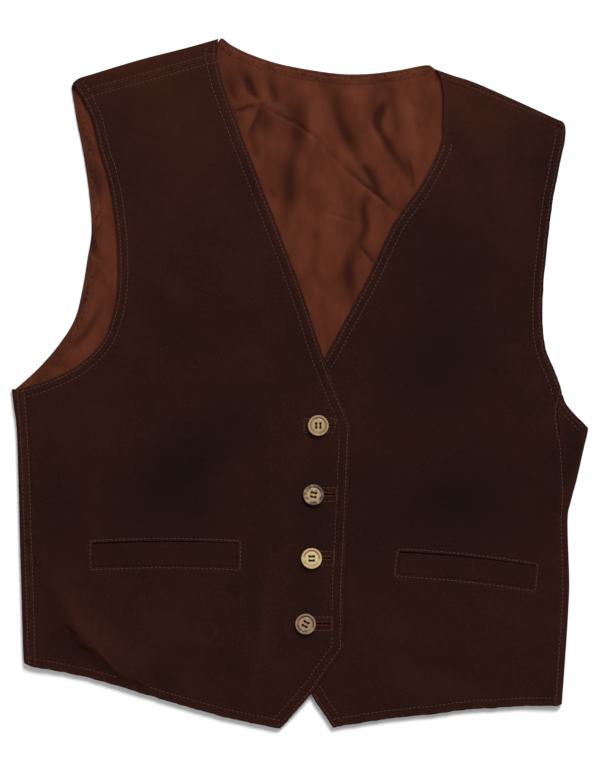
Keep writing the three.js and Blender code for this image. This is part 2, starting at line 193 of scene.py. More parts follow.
def nearest_stretch(xy: Array, start: Array, run: Array) -> Nearest:
    """Find the nearest place on several straight stretches for each point.

    Args:
        xy: The points, one row each.
        start: Where each stretch starts.
        run: How far each stretch goes, in x and y.

    Returns:
        The distance, side and place for each point.
    """
    squared = np.maximum((run**2).sum(axis=1), TINY)
    lengths = np.sqrt(squared)
    before = np.concatenate([[0], np.cumsum(lengths)])
    found = Nearest(*(np.zeros(len(xy), dtype=kind) for kind in (float, float, int, float)))
    for rows in tiles(xy):
        tile = xy[rows]
        middle = tile.mean(axis=0)
        reach = np.linalg.norm(tile - middle, axis=1).max()
        t = np.clip(((middle - start) * run).sum(axis=1) / squared, 0, 1)
        apart = np.linalg.norm(middle - start - t[:, None] * run, axis=1)
        close = np.flatnonzero(apart <= apart.min() + 2 * reach + 1e-6)
        off = tile[:, None] - start[close][None]
        t = np.clip((off * run[close]).sum(axis=2) / squared[close], 0, 1)
        miss = ((off - t[..., None] * run[close]) ** 2).sum(axis=2)
        best = miss.argmin(axis=1)
        each = np.arange(len(tile))
        k = close[best]
        found.distance[rows] = np.sqrt(miss[each, best])
        found.side[rows] = run[k, 0] * off[each, best, 1] - run[k, 1] * off[each, best, 0]
        found.segment[rows] = k
        found.travel[rows] = (before[k] + t[each, best] * lengths[k]) / before[-1]
    return found


def nearest(xy: Array, line: Array) -> Nearest:
    """Find the nearest place on a line with corners for each point."""
    return nearest_stretch(xy, line[:-1], np.diff(line, axis=0))


def inside(xy: Array, loop: Array) -> Array:
    """Say which points lie inside a closed loop."""
    a, b = loop, np.roll(loop, -1, axis=0)
    found = []
    for chunk in np.array_split(xy, max(1, len(xy) * len(a) // 3_000_000)):
        x, y = chunk[:, :1], chunk[:, 1:]
        spans = (a[:, 1] > y) != (b[:, 1] > y)
        rise = np.where(b[:, 1] == a[:, 1], 1e-9, b[:, 1] - a[:, 1])
        crossing = a[:, 0] + (y - a[:, 1]) * (b[:, 0] - a[:, 0]) / rise
        found.append((spans & (x < crossing)).sum(axis=1) % 2 == 1)
    return np.concatenate(found)


def within(xy: Array, line: Array, reach: float) -> Array:
    """Give the row numbers of the points that lie in a line's box, widened by a reach."""
    low, high = line.min(axis=0) - reach, line.max(axis=0) + reach
    return np.flatnonzero(np.all((xy > low) & (xy < high), axis=1))


def at_rows(xy: Array, rows: Array, values: Array) -> Array:
    """Give values at some rows of the points, and 0 at the others."""
    found = np.zeros(len(xy))
    found[rows] = values
    return found


def to_the_left(along: Array) -> Array:
    """Give the unit vectors to the left of some directions."""
    along = along / np.maximum(np.linalg.norm(along, axis=1, keepdims=True), TINY)
    return np.column_stack([-along[:, 1], along[:, 0]])


def inward_normals(loop: Array) -> Array:
    """Give the unit normal to the left of a closed loop's run at each point."""
    return to_the_left(np.roll(loop, -1, axis=0) - np.roll(loop, 1, axis=0))


def ripple(xy: Array, size: float, seed: float) -> Array:
    """Give smooth unevenness between about -1 and 1.

    Args:
        xy: The points, one row each.
        size: The width of one swell.
        seed: Which pattern to give.

    Returns:
        The unevenness at each point.
    """
    return np.array([noise.noise(Vector((x / size, y / size, seed))) for x, y in xy]) * 1.6


# Folds and creases of laid cloth.


@dataclass(frozen=True)
class Fold:
    """A broad fold from one point to another, as the solids have it.

    Args:
        start: Where it starts.
        end: Where it ends.
        height: The height of its crest.
        left: Its half-width to the left of its run.
        right: Its half-width to the right.
    """

    start: Point
    end: Point
    height: float
    left: float
    right: float

    def lift(self, xy: Array) -> Array:
        """Give its height at each point."""
        line = np.array([self.start, self.end], dtype=float)
        rows = within(xy, line, max(self.left, self.right))
        near = nearest(xy[rows], line)
        width = np.where(near.side > 0, self.left, self.right)
        return at_rows(xy, rows, self.height * fade(near.distance, width))


@dataclass(frozen=True)
class Crease:
    """A fine crease along a curve: a ridge, or a trough where its height is below 0.

    Args:
        path: The points that its curve passes through.
        height: How far it stands up in its middle.
        left: How wide it is to the left of its run.
        right: How wide it is to the right.
    """

    path: tuple[Point, ...]
    height: float
    left: float
    right: float

    def curve(self) -> Array:
        """Give the points of its curve."""
        return spline(self.path, 3.0)

    def lift(self, xy: Array) -> Array:
        """Give its height at each point."""
        line = self.curve()
        rows = within(xy, line, 3 * max(self.left, self.right))
        near = nearest(xy[rows], line)
        width = np.where(near.side > 0, self.left, self.right)
        taper = np.sin(np.pi * np.clip(near.travel, 0.03, 0.97)) ** 0.7
        return at_rows(xy, rows, self.height * taper * np.exp(-((near.distance / width) ** 2)))


def lift_all(xy: Array, folds: Sequence[Fold | Crease]) -> Array:
    """Add up the heights of several folds at each point."""
    return sum((fold.lift(xy) for fold in folds), np.zeros(len(xy)))


def near_line(xy: Array, line: Array, height: float, width: float) -> Array:
    """Give a height that falls to nothing over a width on both sides of a line.

    Args:
        xy: The points, one row each.
        line: The line's corners.
        height: The height on the line.
        width: How far from it the height is nothing.

    Returns:
        The height at each point.
    """
    rows = within(xy, line, width)
    return at_rows(xy, rows, height * fade(nearest(xy[rows], line).distance, width))


# Outlines of the cut pieces.


@dataclass(frozen=True)
class Edge:
    """One edge of a cut piece, running on from the last point of the edge before it.

    Args:
        name: What the edge is.
        points: The points that it passes through.
        smooth: Whether it curves through its points.
        rows: How far inside it each row of stitches lies.
        joined: Whether the cloth goes on past it round a fold; its points are then kept as they are.
        ease: How far in from it the cloth is rounded.
        wander: How far it wanders off its line.
        bare: A place, and the distance round it within which the edge shows no stitches.
    """

    name: str
    points: Sequence[Sequence[float]]
    smooth: bool = True
    rows: tuple[float, ...] = ()
    joined: bool = False
    ease: float = 1.2
    wander: float = 0.0
    bare: tuple[Point, float] | None = None

    def shows(self, xy: Array) -> Array:
        """Say at which points its stitches show."""
        if self.bare is None:
            return np.ones(len(xy), dtype=bool)
        place, radius = self.bare
        return np.linalg.norm(xy - place, axis=1) > radius


class Outline:
    """The closed outline of a cut piece, counter-clockwise."""

    def __init__(self, edges: Sequence[Edge], step: float = 1.7) -> None:
        """Sample the edges.

        Args:
            edges: The edges in their order round the piece.
            step: The distance between the outline's points.
        """
        self.edges = list(edges)
        runs, owners = [], []
        start = edges[-1].points[-1]
        for i, edge in enumerate(edges):
            knots = [start, *edge.points]
            if edge.joined:
                run = np.array(knots, dtype=float)
            else:
                run = spline(knots, step) if edge.smooth else straight(knots, step)
            runs.append(run[:-1])
            owners += [i] * (len(run) - 1)
            start = edge.points[-1]
        self.loop = np.vstack(runs)
        self.owner = np.array(owners)
        wanders = np.array([edge.wander for edge in edges])[self.owner]
        wander = np.minimum(wanders, np.roll(wanders, 1))
        if wander.any():
            swing = wander * ripple(self.loop, 8, 6.6) + 0.6 * wander * ripple(self.loop, 3.5, 2.9)
            self.loop = self.loop + swing[:, None] * inward_normals(self.loop)
        self.closed = np.vstack([self.loop, self.loop[:1]])

    def stretch(self, *names: str) -> Array:
        """Give the points of neighbouring edges, by name, in their order round the piece."""
        picked = [self.closed[np.flatnonzero(self.owner == self.index(name))] for name in names]
        last = np.flatnonzero(self.owner == self.index(names[-1]))[-1]
        return np.vstack([*picked, self.closed[last + 1 : last + 2]])

    def index(self, name: str) -> int:
        """Give the number of the edge with this name."""
        return next(i for i, edge in enumerate(self.edges) if edge.name == name)

    def joints(self) -> Array:
        """Say which of the loop's points lie on a joined edge, its two ends among them."""
        on_edge = np.array([self.edges[i].joined for i in self.owner])
        return on_edge | np.roll(on_edge, 1)

    def free(self) -> Array:
        """Say which stretches of the loop are a cloth's edge, and not joined."""
        return np.array([not self.edges[i].joined for i in self.owner])

    def row(self, offset: float, *names: str) -> Array:
        """Give the line that runs inside neighbouring edges at an even distance.

        Args:
            offset: The distance from the edges.
            names: The edges, in their order round the piece.

        Returns:
            The line's points, one row each.
        """
        run = self.stretch(*names)
        line = run + offset * to_the_left(np.gradient(run, axis=0))
        line = line[nearest(line, run).distance > offset - ROW_SLACK]
        return line[np.all([self.edges[self.index(name)].shows(line) for name in names], axis=0)]

    def ring(self, offset: float) -> Array:
        """Give the points of the loop moved inward, without those that cross at a corner."""
        points = self.loop + offset * inward_normals(self.loop)
        return points[nearest(points, self.closed).distance > abs(offset) - RING_SLACK]

    def area(self) -> float:
        """Give the area inside the outline."""
        x, y = self.closed.T
        return 0.5 * abs(np.sum(x[:-1] * y[1:] - x[1:] * y[:-1]))

    def size(self) -> tuple[float, float]:
        """Give the outline's width and length."""
        width, length = np.ptp(self.loop, axis=0)
        return float(width), float(length)


RIGHT_FRONT_EDGES = (
    Edge(
        "hem",
        ((-168.5, -239.8), (-116.6, -255.2), (-58.3, -271.8), (-16.2, -280.3)),
        rows=HEM_ROWS,
        wander=0.4,
        bare=((-135, -245), 14.5),
    ),
    Edge("cutaway", ((8.9, -252.7), (35.2, -215.5)), smooth=False, rows=EDGE_ROWS, wander=0.25),
    Edge("centre", ((35.4, -170), (37.7, -120), (40.1, -63), (41.3, -34)), rows=EDGE_ROWS, wander=0.25),
    Edge(
        "neck",
        ((21.5, 13), (3.2, 69), (-20.3, 131), (-44.6, 193.6), (-59.1, 232.5), (-65.6, 255), (-67.1, 262.5)),
        rows=EDGE_ROWS,
        wander=0.2,
    ),
    Edge(
        "shoulder",
        ((-87.5, 257), (-125.6, 246.2), (-164.4, 235.4), (-171.6, 232.8), (-175.8, 229.2)),
        smooth=False,
        rows=SEAM_ROWS,
        ease=SEAM_EASE,
    ),
    Edge(
        "armhole",
        (
            (-167.4, 210.6), (-161.2, 185.5), (-153.9, 160.4), (-149, 128), (-147, 95),
            (-149, 65), (-158, 36), (-175, 17), (-198, 4), (-226.5, -5.7),
        ),
        rows=ARMHOLE_ROWS,
        wander=0.2,
    ),
    Edge(
        "side",
        ((-224, -39), (-222, -79), (-220.4, -128), (-218.7, -177), (-217.2, -230)),
        rows=SEAM_ROWS,
        ease=SEAM_EASE,
    ),
)
LEFT_FRONT_EDGES = (
    Edge("cutaway", ((8.9, -252.7), (26.7, -279.5)), smooth=False, rows=EDGE_ROWS, wander=0.25),
    Edge(
        "hem",
        ((64.8, -273.4), (103.7, -268.9), (142.6, -264.5), (181.4, -262.4), (208.1, -262.0)),
        rows=HEM_ROWS,
        wander=0.4,
    ),
    Edge(
        "side",
        (
            (211, -217), (213, -185), (213.8, -160), (212.5, -112), (213.7, -95.5),
            (213.2, -77), (211.6, -52.7), (208.8, -37), (208, -22), (211.9, -9.2),
        ),
        rows=NEAR_SEAM_ROWS,
        ease=SEAM_EASE,
    ),
    Edge(
        "armhole",
        (
            (209.6, -0.4), (206.4, 8.1), (198.7, 27.5), (196.3, 47), (196.4, 71.3), (198.9, 100.4),
            (204.1, 144.2), (211.6, 183.1), (214.2, 194.5), (214.8, 204.5),
        ),
        rows=ARMHOLE_ROWS,
        wander=0.2,
    ),
    Edge(
        "shoulder",
        ((211.5, 204.9), (204.1, 208.9), (178.2, 219.3), (139.4, 235.4), (113.8, 244.8)),
        smooth=False,
        ease=SEAM_EASE,
    ),
    Edge(
        "neck",
        (
            (116.2, 230), (115.4, 210.6), (113.8, 192.8), (99.2, 162), (76.1, 128.8),
            (56.3, 87.5), (25.5, 30), (-9.7, -34),
        ),
        rows=(3.2, 8.7),
        wander=0.2,
        bare=((116, 228), 34),
    ),
    Edge("centre", ((-11.3, -95.6), (-13, -176.6), (-12.2, -217.1)), rows=EDGE_ROWS),
)
BACK_HEM = ((-218, -226.8), (0, -241.5), (200, -258.4))
BACK_RIGHT_ARMHOLE = (
    (215.5, -17.8), (204.9, 1.6), (195.2, 30), (192.8, 66.4), (196, 115), (203.3, 155.5), (210.6, 196),
)
BACK_NECK = (
    (109.9, 252.8), (107.4, 254.9), (101.3, 256.6), (77.8, 252.2), (51.8, 249.4), (25.9, 250.2),
    (-13, 256.8), (-38.9, 264.9), (-55, 272.6), (-63.2, 278.4),
)
BACK_LEFT_ARMHOLE = (
    (-184.0, 241.0), (-184.9, 238.0), (-182.6, 223), (-180.6, 211), (-175, 183), (-170.6, 152),
    (-168.7, 123), (-172, 100), (-176, 76), (-182, 52), (-194, 32), (-211, 12),
)
LINING_INSET = 0.5
LINING_HEM = ((-400.0, -205.0), (400.0, -236.0))

FRONT_FOLDS = (
    Fold((-204, -160), (-178, -204), 2.0, 26, 15),
    Fold((-174, -209), (-138, -238), 2.6, 26, 14),
    Fold((-126, 100), (-88, 40), 0.9, 24, 24),
    Fold((-60, -190), (-34, -246), 0.8, 18, 22),
    Fold((128, 222), (164, 130), 1.3, 18, 20),
    Fold((148, 40), (196, -36), 1.0, 20, 18),
    Fold((70, -205), (168, -238), 0.9, 22, 18),
)
LINING_FOLDS = (
    Fold((-40, 252), (-34, 226), 1.2, 12, 12),
    Fold((-30, 224), (6, 196), 1.0, 12, 14),
    Fold((8, 230), (10, 160), 1.4, 14, 14),
    Fold((44, 226), (52, 176), 1.3, 13, 15),
    Fold((70, 222), (62, 150), 1.3, 14, 14),
    Fold((90, 214), (92, 176), 1.0, 12, 14),
    Fold((30, 130), (36, 74), 1.2, 14, 14),
)
FRONT_CREASES = (
    Crease(((-205, -158), (-190, -178), (-181, -196), (-174, -209)), 1.5, 12, 4.5),
    Crease(
        ((-181, -204), (-174, -212), (-165, -214.5), (-157, -224), (-148, -233), (-136, -240)), 1.9, 9, 2.2
    ),
    Crease(((-198, -196), (-188, -212), (-174, -224)), -0.6, 8, 8),
    Crease(((-30, -146), (-32, -190), (-37, -232), (-44, -262)), 0.5, 2.4, 7),
    Crease(((-72, -164), (-66, -204), (-72, -246)), 0.4, 9, 8),
    Crease(((-124, 104), (-108, 76), (-86, 44)), 0.7, 9, 14),
    Crease(((-150, 20), (-120, 6), (-92, 10)), 0.5, 8, 10),
    Crease(((-146, -34), (-112, -52), (-70, -50)), 0.45, 12, 12),
    Crease(((-110, 226), (-104, 190), (-112, 150)), 0.6, 9, 12),
    Crease(((-84, 196), (-66, 160), (-58, 120)), 0.5, 8, 10),
    Crease(((-206, -30), (-196, -70), (-202, -112)), 0.5, 8, 9),
    Crease(((-150, -160), (-120, -178), (-86, -176)), 0.45, 9, 12),
    Crease(((124, 225), (146, 178), (168, 132)), 0.9, 8, 12),
    Crease(((176, 214), (182, 180), (176, 140)), 0.5, 7, 9),
    Crease(((146, 44), (172, 4), (200, -30)), 0.7, 9, 12),
    Crease(((158, -46), (190, -80), (208, -112)), 0.7, 10, 8),
    Crease(((172, -8), (186, -34), (206, -60)), 0.5, 6, 8),
    Crease(((82, -206), (130, -226), (180, -250)), 0.7, 12, 10),
    Crease(((150, -184), (180, -206), (204, -214)), 0.5, 9, 9),
    Crease(((60, 20), (92, -20), (104, -64)), 0.5, 14, 14),
    Crease(((92, 96), (116, 60), (150, 40)), 0.45, 10, 12),
    Crease(((30, -190), (52, -222), (60, -256)), 0.5, 9, 9),
)
LINING_CREASES = (
    Crease(((-44, 249), (-39.4, 236.1), (-31.5, 226.5)), -1.7, 3.4, 3.4),
    Crease(((-27, 249), (-20.3, 234), (-22, 224)), -1.2, 4, 4),
    Crease(((-56, 218.6), (-44, 222.6), (-31.5, 225)), -1.2, 0.9, 2.6),
    Crease(((-31.5, 224), (-37, 211.3), (-43.5, 197)), -1.3, 5, 0.9),
    Crease(((-32.6, 220), (-28, 208), (-26, 199)), -1.0, 6, 5),
    Crease(((-33, 224.6), (-15.8, 214.7), (2.3, 205), (13.5, 195.5), (27, 182), (42, 167)), -0.8, 2.4, 0.8),
    Crease(((36, 172), (41.6, 167.4), (58.5, 153.9), (79.5, 136)), -1.5, 2.8, 0.8),
    Crease(((28.6, 240), (31.5, 215.8), (39.4, 195.5), (49.5, 175.5)), -1.4, 5, 4.6),
    Crease(((49, 177), (58.5, 164), (64.5, 149)), -1.7, 4, 3.4),
    Crease(((75, 229), (64.1, 218), (62.4, 206.8), (73.1, 188.8), (85.5, 170.8), (94, 154)), -1.4, 3.6, 3.8),
    Crease(((67, 223), (62.6, 212.4), (64.6, 203)), -1.0, 3, 3),
    Crease(((74.3, 234), (77.6, 211.3), (81, 190)), -0.7, 4, 4),
    Crease(((-3.4, 228), (-2.3, 204.5), (-1.1, 189)), -0.9, 7, 7),
    Crease(((-1.5, 196), (-7.9, 170.8), (-9, 150.6), (-13, 126)), -1.5, 6.5, 6.5),
    Crease(((55, 156), (51.8, 139.3), (52.9, 123.6), (46, 111)), -1.7, 4.2, 3.6),
    Crease(((47.5, 114.5), (41.6, 101), (39.4, 87.6), (42, 62)), -1.6, 6, 6),
    Crease(((47.4, 111.5), (54, 103.3), (60.5, 94)), -1.5, 2.4, 0.8),
    Crease(((18, 139.3), (36, 132.6), (53, 130.3)), -0.5, 1, 2),
    Crease(((86, 184), (92.3, 164), (92, 156)), -0.8, 1, 2.4),
    Crease(((-38.5, 199), (-36, 190), (-34, 180)), -0.9, 3, 3),
    Crease(((-25, 160), (-22, 152), (-20, 144)), -0.5, 3, 3),
    Crease(((13.5, 126), (14, 119), (13, 112)), -0.6, 3, 3),
    Crease(((-59, 249), (-54, 234), (-50, 226)), -0.9, 4, 4),
    Crease(((8, 100), (16, 84), (24, 70)), -0.5, 4, 4),
    Crease(((14, 232), (15, 205), (10, 172)), 0.9, 6, 8),
    Crease(((48, 232), (47, 218), (53, 200)), 0.8, 5, 4),
    Crease(((84, 226), (88, 206), (94, 190)), 0.7, 5, 6),
    Crease(((30, 152), (34, 128), (30, 102)), 0.8, 6, 6.5),
    Crease(((-171, 130), (-168, 114), (-164, 96)), -1.5, 3.6, 3.4),
    Crease(((-168, 86), (-176, 62), (-188, 40)), -0.8, 2.2, 3),
    Crease(((-160, 62), (-172, 42), (-186, 26)), -1.2, 3.4, 3.0),
    Crease(((-170, 182), (-164, 160), (-160, 142)), -0.9, 3.0, 3.4),
    Crease(((-176, 206), (-171, 192), (-166, 182)), -0.9, 2.6, 2.6),
    Crease(((-205, 16), (-196, 14), (-184, 10)), -0.7, 2.4, 3.0),
    Crease(((-172, 106), (-162, 92), (-156, 76)), 0.8, 2.6, 3.0),
)
DEEPEST = 1.7
SHARP_CREASE = FRONT_CREASES[1]

# Where the suede's colour is lightened, above 0, or darkened, below 0: a painted highlight along the crests
# of the creases at the lower left, painted shade on their low sides and in four broad shadowed patches above
# the pockets, and other darker and lighter bands.
PAINTED_LIGHT_AND_TONE_MARKS = (
    Crease(((-96, -20), (-78, -48), (-64, -80)), -0.75, 58, 58),
    Crease(((-92, 90), (-80, 50), (-76, 10)), -0.45, 44, 44),
    Crease(((-168, -90), (-120, -100), (-64, -106)), -0.6, 36, 40),
    Crease(((-96, -60), (-80, -92), (-62, -120)), -0.3, 26, 26),
    Crease(((-200, -60), (-196, -110), (-196, -160)), -0.35, 22, 18),
    Crease(((190, -40), (190, -100), (192, -170)), -0.32, 22, 22),
    Crease(((-16, 60), (6, 10), (8, -30)), -0.3, 18, 18),
    Crease(((190, 232), (204, 170), (196, 120)), -0.4, 20, 20),
    Crease(((70, 40), (110, 4), (146, -31)), -0.75, 56, 56),
    Crease(((74, -92), (130, -96), (180, -92)), -0.9, 44, 44),
    Crease(((120, 150), (140, 110), (150, 70)), -0.5, 34, 40),
    Crease(((-205, -196), (-190, -212), (-172, -226)), -0.55, 10, 12),
    Crease(((-170, -140), (-108, -139), (-54, -140)), -0.45, 12, 12),
    Crease(((84, -146), (135, -151), (186, -157)), -0.5, 12, 12),
    Crease(((-206, -158), (-190, -178), (-174, -204), (-150, -224)), 0.42, 13, 2.5),
    Crease(((-182, -186), (-160, -206), (-132, -224), (-118, -232)), 0.25, 12, 8),
    Crease(((-126, -164), (-118, -186), (-92, -204)), 0.22, 20, 22),
    Crease(((-128, -232), (-112, -240), (-92, -246)), -0.3, 7, 7),
    Crease(
        ((-181, -206), (-173.5, -212), (-164.6, -215), (-156.4, -224.5), (-147.4, -233.4), (-136, -240)),
        0.75, 2.0, 1.0,
    ),
    Crease(((230, -20), (224, -50), (214, -90)), -0.7, 16, 20),
    Crease(((14.8, -30), (13, -60), (11, -95), (9.5, -145), (4.5, -205)), -0.55, 15, 15),
    Crease(((54, -50), (62, -100), (72, -160)), -0.45, 34, 34),
    Crease(((96, 150), (116, 70), (146, 10)), -0.36, 50, 50),
    Crease(((204, 190), (200, 110), (186, 40)), -0.4, 24, 24),
    Crease(((70, -196), (136, -212), (196, -216)), -0.32, 38, 38),
    Crease(((-160, 212), (-120, 190), (-70, 196)), -0.26, 32, 32),
    Crease(((-172, -222), (-160, -229), (-146, -238)), -0.3, 3, 3.4),
    Crease(((-26, -150), (-30, -200), (-40, -262)), 0.3, 9, 2),
    Crease(((128, 226), (160, 214), (190, 200)), 0.2, 8, 18),
    Crease(((60, -232), (120, -244), (190, -250)), 0.35, 16, 16),
)

# Where a button has pressed its rim into the suede: the middle and the radius.
RIM_MARKS = (((-90.7, -36.5), 6.6), ((-75.7, -201.7), 7.4))

RIGHT_FRONT_LINE = Outline(RIGHT_FRONT_EDGES)
LEFT_FRONT_LINE = Outline(LEFT_FRONT_EDGES)


def rim_mark(xy: Array, middle: Point, radius: float) -> Array:
    """Give how far the suede's pile is raised along a rim's mark, at each point."""
    reach = np.linalg.norm(xy - middle, axis=1)
    return 0.4 * np.exp(-(((reach - radius) / 0.9) ** 2))


def front_tone_and_painted_light(xy: Array) -> Array:
    """Give the tone marks and the painted light and shade of the fronts at each point, with the rims' marks.
    """
    return lift_all(xy, PAINTED_LIGHT_AND_TONE_MARKS) + sum(rim_mark(xy, *mark) for mark in RIM_MARKS)


# The heights at which the fronts lie.


class FrontGround:
    """The underside of the two fronts, as they lie over the back and over each other."""

    def __init__(self) -> None:
        """Collect the lines near which the fronts rise."""
        right = {edge.name: edge.points for edge in RIGHT_FRONT_EDGES}
        left = {edge.name: edge.points for edge in LEFT_FRONT_EDGES}
        self.seams = [np.array([seam for _, seam in edge.stations]) for edge in FOLDED_EDGES]
        self.armholes = [
            np.array([right["shoulder"][-1], *right["armhole"]]),
            np.array([left["side"][-1], *left["armhole"]]),
        ]
        self.necks = [
            np.array([p for p in line if p[1] > NECK_LOWEST])
            for line in ((left["shoulder"][-1], *left["neck"]), right["neck"])
        ]
        self.lap = np.array([*left["neck"][-2:], *left["centre"], *left["cutaway"]])

    def under(self, xy: Array) -> Array:
        """Give the height of the left front's underside, and of the right front's away from the lap."""
        rises = [near_line(xy, line, *SEAM_RISE) for line in self.seams]
        rises += [near_line(xy, line, *ARMHOLE_ROLL) for line in self.armholes]
        rises.append(np.maximum(*(near_line(xy, line, *NECK_ROLL) for line in self.necks)))
        rise = sum(r**RISE_BLEND for r in rises) ** (1 / RISE_BLEND)
        return FRONT_BOTTOM + rise + lift_all(xy, FRONT_FOLDS)

    def over(self, xy: Array) -> Array:
        """Give the height of the right front's underside, which laps over the left front."""
        near = nearest(xy, self.lap)
        outside = np.where(near.side > 0, 0, near.distance)
        height, flat, width = OVERLAP_LIFT
        return self.under(xy) + height * fade(np.maximum(outside - flat, 0), width)


@dataclass(frozen=True)
class FoldedEdge:
    """An edge of the back that is folded over to the front.

    Args:
        name: Which edge it is.
        stations: Rows of the fold's outermost point and the seam's point, counter-clockwise.
        head: The outline from the fold's last station to the seam's, where it isn't straight.
        row: How far outside the seam its row of stitches lies, or 0 for none.
        ends: The rows inside its first and its last end.
    """

    name: str
    stations: tuple[tuple[Point, Point], ...]
    head: tuple[Point, ...] = ()
    row: float = 0.0
    ends: tuple[tuple[float, ...], tuple[float, ...]] = ((), ())

    def columns(self, step: float) -> tuple[Array, Array, Array]:
        """Give the line where the fold's arc starts, the seam's line and the way inward.

        Args:
            step: The distance between the points.

        Returns:
            The arc's starting points, the seam's points and the unit vectors from fold to seam.
        """
        both = spline([(*fold, *seam) for fold, seam in self.stations], step)
        fold, seam = both[:, :2], both[:, 2:]
        inward = (seam - fold) / np.linalg.norm(seam - fold, axis=1, keepdims=True)
        return fold + FOLD_RADIUS * inward, seam - SEAM_GAP * inward, inward


FOLDED_EDGES = (
    FoldedEdge(
        "right_side",
        (
            ((211.9, -260.4), (208.3, -262.0)),
            ((215.1, -217), (211.2, -217)),
            ((217.1, -185), (213.2, -185)),
            ((217.9, -160), (214, -160)),
            ((216.6, -112), (212.7, -112)),
            ((219.5, -95.5), (213.9, -95.5)),
            ((224.4, -77), (213.4, -77)),
            ((229.7, -53.5), (211.8, -52.7)),
            ((232.3, -43), (209.8, -39)),
            ((233.0, -39.2), (208.2, -24)),
            ((233.3, -37.4), (210.3, -13.4)),
        ),
        head=((227.6, -31.4), (222.2, -26.6), (216.9, -20.6), (214.0, -15.4), (212.6, -10.8), (211.2, -9.6)),
        ends=((), (2.8, 6.4)),
    ),
    FoldedEdge(
        "right_shoulder",
        (
            ((215.0, 205.0), (211.5, 205.0)),
            ((214.1, 208.6), (210.9, 206.3)),
            ((212.0, 211.1), (209.4, 207.1)),
            ((206.6, 213.3), (204.1, 209.2)),
            ((181.4, 224.8), (178.2, 219.6)),
            ((142.6, 241.9), (139.4, 235.7)),
            ((124, 248.0), (122.3, 242.2)),
            ((109.6, 253.2), (113.8, 245.1)),
        ),
        row=2.4,
        ends=((), (2.0,)),
    ),
    FoldedEdge(
        "left_shoulder",
        (
            ((-66.2, 277.8), (-67.2, 262.8)),
            ((-90.7, 270.8), (-87.5, 257.3)),
            ((-129.6, 260.8), (-125.6, 246.5)),
            ((-168.5, 249.1), (-164.4, 235.7)),
            ((-178.8, 245.8), (-171.4, 233.2)),
            ((-184.2, 241.8), (-175.9, 229.5)),
        ),
        row=3.4,
        ends=(EDGE_ROWS, ARMHOLE_ROWS),
    ),
    FoldedEdge(
        "left_side",
        (
            ((-233.3, -5.7), (-226.8, -5.7)),
            ((-231.8, -18), (-225.8, -18)),
            ((-229.2, -39), (-224.2, -39)),
            ((-227.8, -79), (-222.2, -79)),
            ((-226.6, -128), (-220.6, -128)),
            ((-225.2, -177), (-218.9, -177)),
            ((-224.0, -218), (-217.6, -218)),
            ((-223.2, -227.2), (-217.2, -230.2)),
        ),
        row=2.3,
        ends=((), ARMHOLE_ROWS),
    ),
)
GROUND = FrontGround()


# Meshes.


@dataclass
class Sheet:
    """Points and faces of cloth being put together, in millimetres.

    Args:
        points: The sets of points added so far.
        faces: The faces between them.
        wear: The distance of each point to the nearest sewn edge, set by set.
        tone_and_painted_light: How much each point's colour is lightened, above 0, or darkened, below 0, by
            tone marks and painted light and shade, set by set.
        count: How many points there are.
    """

    points: list[Array] = field(default_factory=list)
    faces: list[tuple[int, ...]] = field(default_factory=list)
    wear: list[Array] = field(default_factory=list)
    tone_and_painted_light: list[Array] = field(default_factory=list)
    count: int = 0

    def add(
        self,
        points: Array,
        faces: Sequence[tuple[int, ...]],
        wear: Array | None = None,
        tone_and_painted_light: Array | None = None,
    ) -> None:
        """Add a set of points and the faces between them.

        Args:
            points: The points, one row of x, y and z each.
            faces: The faces, by the points' numbers in this set.
            wear: The distance of each point to the nearest sewn edge.
            tone_and_painted_light: How much each point's colour is lightened, above 0, or darkened, below 0,
                by tone marks and painted light and shade.
        """
        self.points.append(points)
        self.tone_and_painted_light.append(np.zeros(len(points)) if tone_and_painted_light is None else tone_and_painted_light)
        self.wear.append(np.full(len(points), UNWORN) if wear is None else wear)
        self.faces += [tuple(self.count + k for k in face) for face in faces]
        self.count += len(points)

    def make(self, name: str, seal: bool = False) -> bpy.types.Object:
        """Make the Blender object, with its place in its mesh.

        Args:
            name: The object's name.
            seal: Whether parts are merged, small gaps between them are closed and faces are turned out.

        Returns:
            The object.
        """
        shift = np.array([*ORIGIN, 0.0])
        mesh = bpy.data.meshes.new(name)
        mesh.from_pydata(((np.vstack(self.points) + shift) * MM).tolist(), [], self.faces)
        for label, values in (("edge_distance", self.wear), ("tone_and_painted_light", self.tone_and_painted_light)):
            mesh.attributes.new(label, "FLOAT", "POINT").data.foreach_set("value", np.concatenate(values))
        if seal:
            bm = bmesh.new()
            bm.from_mesh(mesh)
            bmesh.ops.remove_doubles(bm, verts=bm.verts, dist=0.01 * MM)
            bmesh.ops.holes_fill(bm, edges=[e for e in bm.edges if e.is_boundary], sides=4)
            bmesh.ops.recalc_face_normals(bm, faces=bm.faces)
            bm.to_mesh(mesh)
            bm.free()
        mesh.polygons.foreach_set("use_smooth", [True] * len(mesh.polygons))
        mesh.update()
        piece = bpy.data.objects.new(name, mesh)
        bpy.context.scene.collection.objects.link(piece)
        return piece


@dataclass
class Weave:
    """How finely a piece of cloth is meshed.

    Args:
        spacing: The distance between the points inside it.
        rings: The distances from the edge at which rings of points run.
        fine: Says at which points the finer spacing holds.
        fine_spacing: The finer spacing.
    """

    spacing: float = 3.0
    rings: tuple[float, ...] = (0.2, 0.5, 0.9, 1.4, 2.0, 2.6, 3.3, 4.4, 5.8, 6.8, 7.8, 8.6, 9.3, 10.2, 12.0)
    fine: Callable[[Array], Array] | None = None
    fine_spacing: float = 1.7


